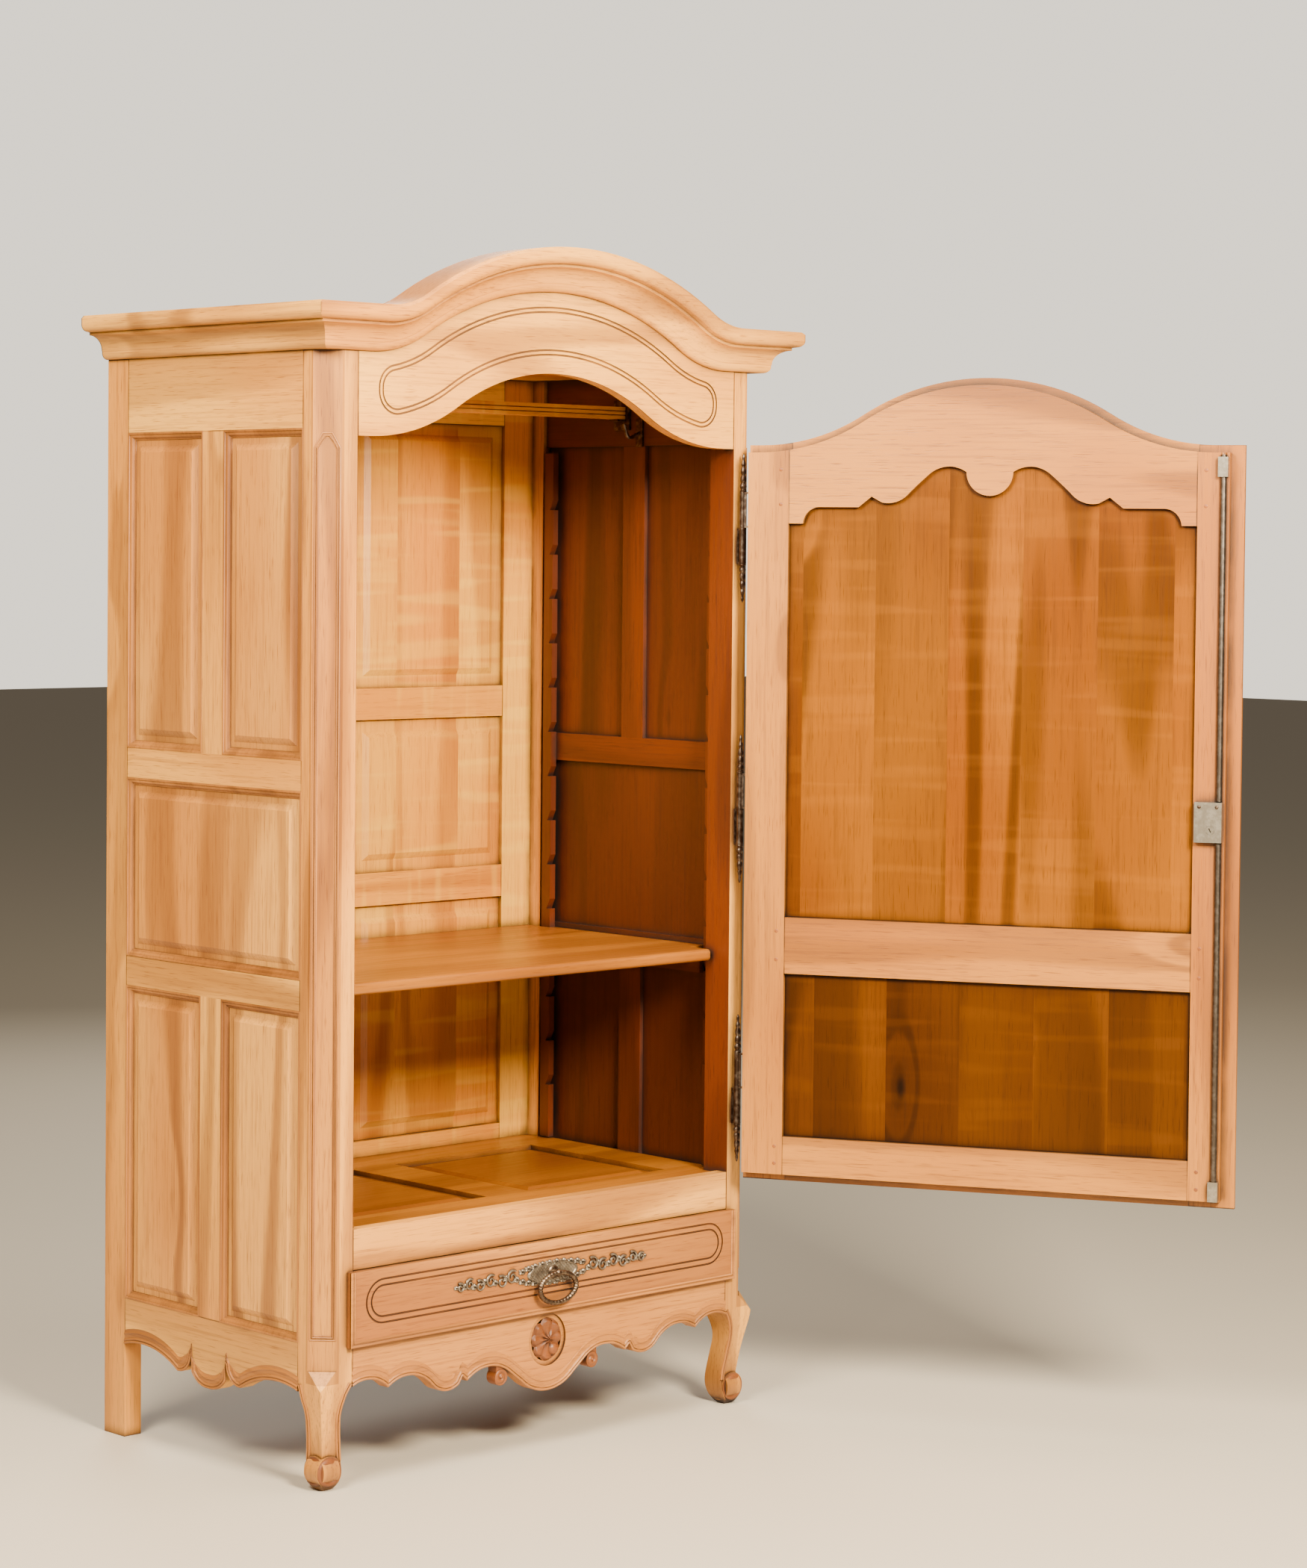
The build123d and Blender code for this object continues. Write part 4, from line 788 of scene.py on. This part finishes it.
frontApron = [
    [(0, 105), (36, 112), (64, 130)], [(64, 130), (90, 150)], [(90, 150), (140, 169), (194, 151)],
    [(194, 151), (205, 161)], [(205, 161), (213, 148)], [(213, 148), (243, 140), (276, 156)],
    [(276, 156), (336, 181), (377, 167)], [(377, 167), (418, 187), (458, 180)],
]
sideApron = [
    [(0, 133), (26, 137), (50, 156)], [(50, 156), (51, 186)], [(51, 186), (66, 158), (92, 150)],
    [(92, 150), (170, 178), (255, 172)],
]
caseWood = makeWood("carvedWood", "moulding", "along")
sideWood = makeWood("carvedSideWood", "moulding", "deep")
uprightWood = makeWood("mouldedWood", "moulding", "up")
footWood = makeWood("footWood", "foot", "up")
frontRim = carvedRim(drawn(frontApron), frontPlane(frontFace), carvedEdge)
makePiece("apron_edge", [frontRim], caseWood)
sideLow, sideHigh = lowHigh("left_side_apron")
sideMiddle = (sideLow[1] + sideHigh[1]) / 2
for sideName, side in (("left", -1), ("right", 1)):
    sideLine = drawn(sideApron) + (sideMiddle, 0)
    rim = carvedRim(sideLine, sidePlane(side * halfWidth, side), carvedEdge)
    makePiece(f"{sideName}_apron_edge", [rim], sideWood)
print("apron edges")

# legs: the beads run on down both faces, and each face ends in a scroll
leg = {
    "outer": [(0, 190), (4, 157), (10, 128), (15, 99), (19, 69), (20, 46), (15, 22)],
    "inner": [(70, 184), (58, 163), (52, 135), (55, 103), (60, 69), (62, 50)],
    "sideInner": [(62, 184), (58, 163), (52, 135), (55, 103), (60, 69), (62, 50)],
    "scrollRadius": 26.0,
    "scrollHeight": 34.0,
    "scrollFace": 16.0,
    "scrolls": {"front": 33.0, "side": 36.0},
    "turns": 1.9,
    "relief": 3.0,
    "eye": 0.17,
    "eyeRise": 1.3,
    "sunk": -0.006,
    "beadEnds": ((0, -2.5), (11, -1.5)),
}


def legEdge(inner, values, plane):
    # the same beads carried down the leg; the leg's own curve sets how far they lie back
    path = smoothLine(inner, 60) / 1000
    lie = thousandths(values["outer"])[::-1]
    back = np.interp(path[:, 1], lie[:, 1], lie[:, 0])
    ahead = np.gradient(path, axis=0)
    ahead /= np.linalg.norm(ahead, axis=1, keepdims=True)
    inward = np.stack((ahead[:, 1], -ahead[:, 0]), 1)
    first, last = values["beadEnds"]
    gap, height = thousandths([first, *carvedEdge["profile"][:carvedEdge["beads"]], last]).T
    across = path[:, 0, None] + inward[:, 0, None] * gap
    up = path[:, 1, None] + inward[:, 1, None] * gap
    return spread(*plane, across, up, height - back[:, None]), False, True


def scroll(centre, up, values, plane):
    # a spiral ridge on a disc, deepest at its rim, with a round eye
    radius = values["scrollRadius"] / 1000
    part, angle = disc(46, 120)
    phase = values["turns"] * (part**0.85) - angle / (2 * np.pi)
    ridge = (0.5 + 0.5 * np.cos(2 * np.pi * phase)) ** 0.6
    dome = 0.35 + 0.65 * np.sqrt(np.clip(1 - (part * 0.98) ** 4, 0, 1))
    eye = np.exp(-((part / values["eye"]) ** 4)) * values["eyeRise"]
    height = values["relief"] / 1000 * (ridge * dome * (1 - np.exp(-((part / 0.2) ** 4))) + eye)
    height = np.concatenate((height, np.full((len(angle), 1), values["sunk"])), 1)
    wide = np.concatenate((part, part[:, -1:]), 1) * radius
    return spread(*plane, centre + wide * np.cos(angle), up + wide * np.sin(angle), height), True, False


beadParts, scrollParts = [], []
for side in (-1, 1):
    corner = (side * halfWidth, frontFace, 0)
    frontFaceOf = (corner, (-side, 0, 0), (0, 0, 1), (0, -1, 0))
    sideFaceOf = (corner, (0, 1, 0), (0, 0, 1), (side, 0, 0))
    beadParts += [legEdge(leg["inner"], leg, frontFaceOf), legEdge(leg["sideInner"], leg, sideFaceOf)]
    for way, (plane, out) in {"front": (frontFaceOf, (0, -1, 0)), "side": (sideFaceOf, (side, 0, 0))}.items():
        sunk = np.array(corner) - np.array(out) * leg["scrollFace"] / 1000
        facing = (tuple(sunk), plane[1], plane[2], out)
        scrollParts.append(scroll(leg["scrolls"][way] / 1000, leg["scrollHeight"] / 1000, leg, facing))
makePiece("leg_beads", beadParts, uprightWood)
makePiece("foot_scrolls", scrollParts, footWood)
print("legs")

# mouldings round the side panels, the canted posts and the drawer
panelMoulding = [(0, -0.6), (0.3, 0.5), (2.0, 0.9), (3.6, 0.3), (4.2, -1.2), (5.6, -1.6), (7.6, -2.2), (9.4, -4.0),
                 (11.0, -6.6), (12.2, -7.4), (13.4, -7.6), (14.4, -9.2), (14.6, -10.0), (0, -10.0)]
midRailHeight = 0.0535


def sideBays(name):
    # the clear openings of one side, read from its rails and muntins
    railLow, railHigh = lowHigh(f"{name}_side_mid_rails")
    topLow = lowHigh(f"{name}_side_top_rail")[0]
    bottomHigh = lowHigh(f"{name}_side_apron")[1]
    muntinLow, muntinHigh = lowHigh(f"{name}_side_muntins")
    near, far = railLow[1], railHigh[1]
    lower, upper = railLow[2], railHigh[2]
    bays = []
    for low, high in ((bottomHigh[2], lower), (upper, topLow[2])):
        bays += [(near, low, muntinLow[1], high), (muntinHigh[1], low, far, high)]
    return bays + [(near, lower + midRailHeight, far, upper - midRailHeight)]


for sideName, side in (("left", -1), ("right", 1)):
    plane = sidePlane(side * halfWidth, side)
    rims = [mitred(boxOutline(*bay), thousandths(panelMoulding), plane) for bay in sideBays(sideName)]
    makePiece(f"{sideName}_panel_mouldings", rims, uprightWood, closed=False)

cantPanel = {
    "halfWidth": 20.0, "low": 268.0, "high": 1806.0, "point": 24.0, "pointWidth": 0.35, "cant": 36.0,
    "profile": [(-3.4, -0.4), (-3.2, 0.7), (-2.2, 1.3), (-1.2, 0.7), (-0.6, -0.6), (0.4, -0.9), (1.0, 0.3), (2.0, 1.0),
                (3.0, 0.3), (3.6, -1.6), (5.4, -2.0), (6.2, -2.6), (6.2, -3.2), (-3.4, -3.2)],
}


def cantPlane(side):
    inset = cantPanel["cant"] / 2000
    origin = (side * (halfWidth - inset), frontFace + inset, 0)
    half = math.sqrt(0.5)
    return origin, (-side * half, -half, 0), (0, 0, 1), (side * half, -half, 0)


def cantOutline(values):
    wide, low, high, point = (values[key] / 1000 for key in ("halfWidth", "low", "high", "point"))
    tip = values["pointWidth"] * wide
    return [(-wide, low), (wide, low), (wide, high), (tip, high + point), (-tip, high + point), (-wide, high)]


cantRims = [mitred(cantOutline(cantPanel), thousandths(cantPanel["profile"]), cantPlane(side)) for side in (-1, 1)]
makePiece("post_mouldings", cantRims, uprightWood, closed=False)

drawerLow, drawerHigh = lowHigh("drawer_front")
drawerBeads = [(0, -1.5), (0.0, 0.3), (1.4, 1.7), (3.2, 1.9), (4.6, 1.0), (5.2, 0.1), (6.4, 0.1), (7.0, 1.0),
               (8.6, 1.7), (10.2, 1.0), (10.9, 0.0), (10.9, -1.5)]
# down the left, along the bottom and up the right; the top edge has none
left, low, right, high = drawerLow[0], drawerLow[2], drawerHigh[0], drawerHigh[2]
rim = mitred([(left, high), (left, low), (right, low), (right, high)], thousandths(drawerBeads),
             frontPlane(drawerLow[1]), closed=False)
makePiece("drawer_rim", [rim], caseWood, "drawer")
print("mouldings")

# rosette: petals round a middle, and one round boss
rosette = {"petals": 8, "radius": 37.0, "tall": 40.0, "height": 198.0, "relief": 9.0, "boss": (14.0, -19.0, 12.0),
           "bossRise": 0.010, "face": 0.004, "sunk": -0.002}


def makeRosette(values):
    # height over a disc: each petal is a hollow leaf between ridges, in polar steps
    radius, tall = values["radius"] / 1000, values["tall"] / 1000
    part, angle = disc(60, 240)
    leaf = 0.5 + 0.5 * np.cos(values["petals"] * angle + 0.6 * np.sin(2 * angle))
    rim = 0.84 + 0.16 * leaf**0.5
    hollow = 0.45 + 0.55 * np.abs(part - 0.55) * 2
    lobed = (1 - np.clip((part / rim - 0.86) / 0.14, 0, 1)) * (0.35 + 0.65 * leaf**0.7 * hollow)
    spiral = 0.16 * np.cos(3 * angle - 9 * part) * part * (1 - part)
    middle = 0.55 * np.exp(-((part / 0.16) ** 4))
    height = values["relief"] / 1000 * np.clip(lobed * 0.8 + spiral + middle * 0.8, 0, 1.2)
    across, up = radius * part * np.cos(angle), tall * part * np.sin(angle)
    bossX, bossZ, bossR = (value / 1000 for value in values["boss"])
    gap = np.hypot(across - bossX, up - bossZ) / bossR
    height = np.maximum(height, values["bossRise"] * np.sqrt(np.clip(1 - gap**2, 0, 1)))
    height[:, 0] = height[:, 0].mean()  # the middle is one point
    height[:, -1] = values["sunk"]
    plane = frontPlane(frontFace + values["face"])
    return spread(*plane, across, values["height"] / 1000 + up, height), True, False


rosetteWood = makeWood("rosetteWood", "carving", "along")
makePiece("rosette_carving", [makeRosette(rosette)], rosetteWood, replaced=["rosette"])

# scroll drops under the apron
drops = {"across": 112.0, "height": 145.0, "face": 1.0,
         "scroll": {**leg, "scrollRadius": 14.4, "turns": 1.4, "relief": 2.6}}
dropParts = []
for side in (-1, 1):
    corner = (side * drops["across"] / 1000, frontFace + drops["face"] / 1000, 0)
    plane = (corner, (side, 0, 0), (0, 0, 1), (0, -1, 0))
    dropParts.append(scroll(0.0, drops["height"] / 1000, drops["scroll"], plane))
makePiece("drop_scrolls", dropParts, makeWood("dropWood", "carving", "along"))
print("carvings")

# drawer furniture: a pierced plate of small scrolls, a rose and a ribbed ring
plate = {
    "curls": [(-222, 0.0, 8.5), (-200, 3.0, 10.5), (-176, -2.5, 11.0), (-150, 2.5, 12.0), (-124, -2.0, 12.0),
              (-99, 3.0, 13.0)],
    "wire": 2.3, "tip": 1.6, "wireFace": 0.0022, "leafFace": 0.0004,
    "curlLeaf": (0.0075, 0.006, 0.0035), "endLeaf": (0.006, 0.004, 0.003), "endAcross": -0.231, "leafBeside": 11,
    "petal": (0.0095, 0.0055, 0.0045), "petals": [(-74, 9), (-60, 13), (-44, 15), (-26, 17), (-9, 18)],
    "middle": (62.0, 20.0), "height": 324.0, "thick": 2.4, "net": 900, "netRise": 0.0008, "rimRise": 0.0012,
    "sunk": -0.0002,
}
plateFace = lowHigh("drawer_plate")[1][1]


def curl(across, up, radius, way):
    # one spiral that opens outwards, as a thin tube that tapers to its eye
    steps = 40
    angle = np.linspace(0, 2 * np.pi * 1.35, steps)
    size = radius * (0.25 + 0.75 * angle / angle[-1])
    plane = frontPlane(plateFace - plate["wireFace"])
    path = spread(*plane, across + way * size * np.cos(angle), up + size * np.sin(angle), 0.0)
    return tube(path, np.linspace(plate["tip"], plate["wire"], steps) / 1000, 8)


def leafBlob(across, up, wide, tall, high):
    # a low rounded leaf with a rippled rim
    part, angle = disc(10, 28)
    ripple = 1 + 0.12 * np.cos(5 * angle)
    height = high * np.sqrt(np.clip(1 - part**2, 0, 1)) * (0.8 + 0.2 * np.cos(8 * angle))
    height[:, 0] = height[:, 0].mean()
    return spread(*frontPlane(plateFace - plate["leafFace"]), across + wide * ripple * part * np.cos(angle),
                  up + tall * ripple * part * np.sin(angle), height), True, False


plateParts = []
plateUp = plate["height"] / 1000
for side in (-1, 1):
    for step, (across, up, radius) in enumerate(plate["curls"]):
        flip = -1 if step % 2 else 1
        plateParts.append(curl(side * across / 1000, plateUp + up / 1000, radius / 1000, side * flip))
        # each leaf swings to the other side of the line, a little further than its curl
        leafAcross = side * (across + plate["leafBeside"]) / 1000
        plateParts.append(leafBlob(leafAcross, plateUp - up / 900, *plate["curlLeaf"]))
    plateParts.append(leafBlob(side * plate["endAcross"], plateUp, *plate["endLeaf"]))
    for across, up in plate["petals"]:
        for way in (1, -1):
            plateParts.append(leafBlob(side * across / 1000, plateUp + way * up / 1000, *plate["petal"]))


def platePad(values):
    # the solid middle of the plate: an oval with a chased net of small bumps
    wide, tall = (value / 1000 for value in values["middle"])
    part, angle = disc(40, 150)
    across, up = wide * part * np.cos(angle), tall * part * np.sin(angle)
    bumps = 0.5 + 0.5 * np.cos(across * values["net"]) * np.cos(up * values["net"])
    rim = (part > 0.86) * (part < 0.97)
    height = values["thick"] / 1000 + values["netRise"] * bumps + values["rimRise"] * rim
    height[:, -1] = values["sunk"]
    return spread(*frontPlane(plateFace), across, plateUp + up, height), True, False


plateParts.append(platePad(plate))
makePiece("drawer_plate_scrolls", plateParts, metalOf["pewter"], "drawer",
          replaced=["drawer_plate"])

ring = {"across": 44.0, "tall": 27.0, "wire": 4.6, "ribs": 34, "lift": 5.0, "steps": 340}
ringLow, ringHigh = lowHigh("drawer_ring")
ringMiddle = (ringLow + ringHigh) / 2


def makeRing(values):
    # an oval of wire whose thickness ripples, a little stouter at its two sides
    angle = np.linspace(0, 2 * np.pi, values["steps"], endpoint=False)
    across, up = values["across"] / 1000 * np.sin(angle), -values["tall"] / 1000 * np.cos(angle)
    path = np.stack((across, np.zeros(values["steps"]), up), 1)
    ends = np.abs(np.cos(angle)) ** 3
    thick = values["wire"] / 1000 * (0.86 + 0.14 * np.abs(np.cos(values["ribs"] / 2 * angle)) + 0.14 * (1 - ends))
    centre = np.array((ringMiddle[0], ringMiddle[1], ringLow[2] + (values["tall"] + values["lift"]) / 1000))
    return tube(centre + path, thick, 14, closed=True)


makePiece("ring_ribbed", [makeRing(ring)], metalOf["bronze"], "drawer_ring",
          replaced=["drawer_ring"], closed=False)
rose = [(0, 0.0), (0, 12), (1.2, 12.4), (2.4, 11), (3.2, 9), (3.6, 7), (8, 6.2), (11, 6.6), (13.5, 7.2), (16, 7.0),
        (18.4, 5.4), (20, 2.6), (20.4, 0)]
roseFoot = (0, plateFace - 0.002, plateUp)
makePiece("ring_rose", [turned(roseFoot, (0, -1, 0), thousandths(rose))], metalOf["bronze"], "drawer",
          replaced=["ring_post"], closed=False)
print("drawer furniture")

# fiche hinges: turned barrels with drawn-out finials
finial = [(0, 6.6), (1.5, 7.0), (3, 6.4), (4, 5.2), (6, 5.0), (8, 6.4), (11, 6.8), (14, 6.2), (16, 4.6), (17.5, 4.4),
          (19, 5.6), (22, 6.2), (26, 6.0), (30, 4.8), (32, 4.0), (34, 4.8), (37, 5.4), (41, 5.2), (45, 4.2),
          (48, 3.4), (50, 4.2), (53, 4.4), (57, 3.4), (60, 2.4), (63, 2.8), (66, 3.0), (69, 2.4), (72, 1.2), (73.5, 0)]
barrel = {"gap": 0.2, "length": 68.0, "radius": 6.8, "band": 7.0}
leaves = {"near": 0.0005, "far": 0.0682, "first": 0.004, "thick": 0.003, "rim": 0.004,
          "post": {"last": 0.0144, "off": -0.0015}, "door": {"last": 0.0169, "off": 0.0025}}
hingeMiddles = (1.680, 1.1475, 0.615)


def atHinge(height):
    return np.array((hingePlace[0], hingePlace[1], height))


def hingeHalf(middle, way):
    # one knuckle and its finial, from the gap outwards
    gap, length, radius, band = (barrel[key] for key in ("gap", "length", "radius", "band"))
    bands = [(0, 0), (gap, radius), (1.6, band), (3.0, radius),
             (length - 4, radius), (length - 2.6, band), (length - 1.2, radius)]
    stations = thousandths(bands + [(length + along, wide) for along, wide in finial])
    return turned(atHinge(middle), (0, 0, way), stations, 26)


def leafPlate(low, high, along, inward, values):
    # a thin leaf between the barrel and the wood, made as a rim with square edges
    thick, rim = leaves["thick"], leaves["rim"]
    origin = atHinge(0) + np.array(inward) * values["off"]
    outline = boxOutline(leaves["first"], low, values["last"], high)
    plane = (tuple(origin), tuple(along), (0, 0, 1), tuple(inward))
    return mitred(outline, [(0, 0), (0, thick), (rim, thick), (rim, 0)], plane)


postParts = [hingeHalf(middle, -1) for middle in hingeMiddles]
doorParts = [hingeHalf(middle, 1) for middle in hingeMiddles]
near, far = leaves["near"], leaves["far"]
for middle in hingeMiddles:
    postParts.append(leafPlate(middle - far, middle - near, (0, 1, 0), (1, 0, 0), leaves["post"]))
    doorParts.append(leafPlate(middle + near, middle + far, doorAlong, doorInward, leaves["door"]))
makePiece("post_fiches", postParts, metalOf["iron"], "carcass", replaced=["post_hinges"], closed=False)
makePiece("door_fiches", doorParts, metalOf["iron"], "door", replaced=["door_hinges"], closed=False)
print("hinges")

# pegs through the door's joints, and the screws of the lock
pegs = {"across": (0.084, 0.883), "heights": (0.482, 0.514, 0.868, 0.922, 1.725, 1.790), "face": 0.0345,
        "radius": 0.0036, "proud": 0.0006, "sunk": -0.0006}
screws = {"across": (0.881, 0.913), "height": 1.181, "face": 0.0485,
          "radius": 0.0034, "proud": 0.0016, "sunk": -0.0006}


def stud(across, height, values):
    # a low domed head on the door's inside, its foot sunk a little
    origin = atHinge(height) + doorAlong * across + doorInward * values["face"]
    angle = np.linspace(0, np.pi / 2, 6)
    dome = np.stack((values["proud"] * np.sin(angle), values["radius"] * np.cos(angle)), 1)
    foot = ((values["sunk"], 0.0), (values["sunk"], values["radius"]))
    return turned(origin, doorInward, np.vstack((*foot, dome)), 16)


pegParts = [stud(across, height, pegs) for across in pegs["across"] for height in pegs["heights"]]
screwParts = [stud(across, screws["height"], screws) for across in screws["across"]]
makePiece("door_pegs", pegParts, makeWood("pegWood", "carving", "up"), "door", closed=False)
makePiece("lock_screws", screwParts, metalOf["iron"], "door", closed=False)
print("pegs and screws")
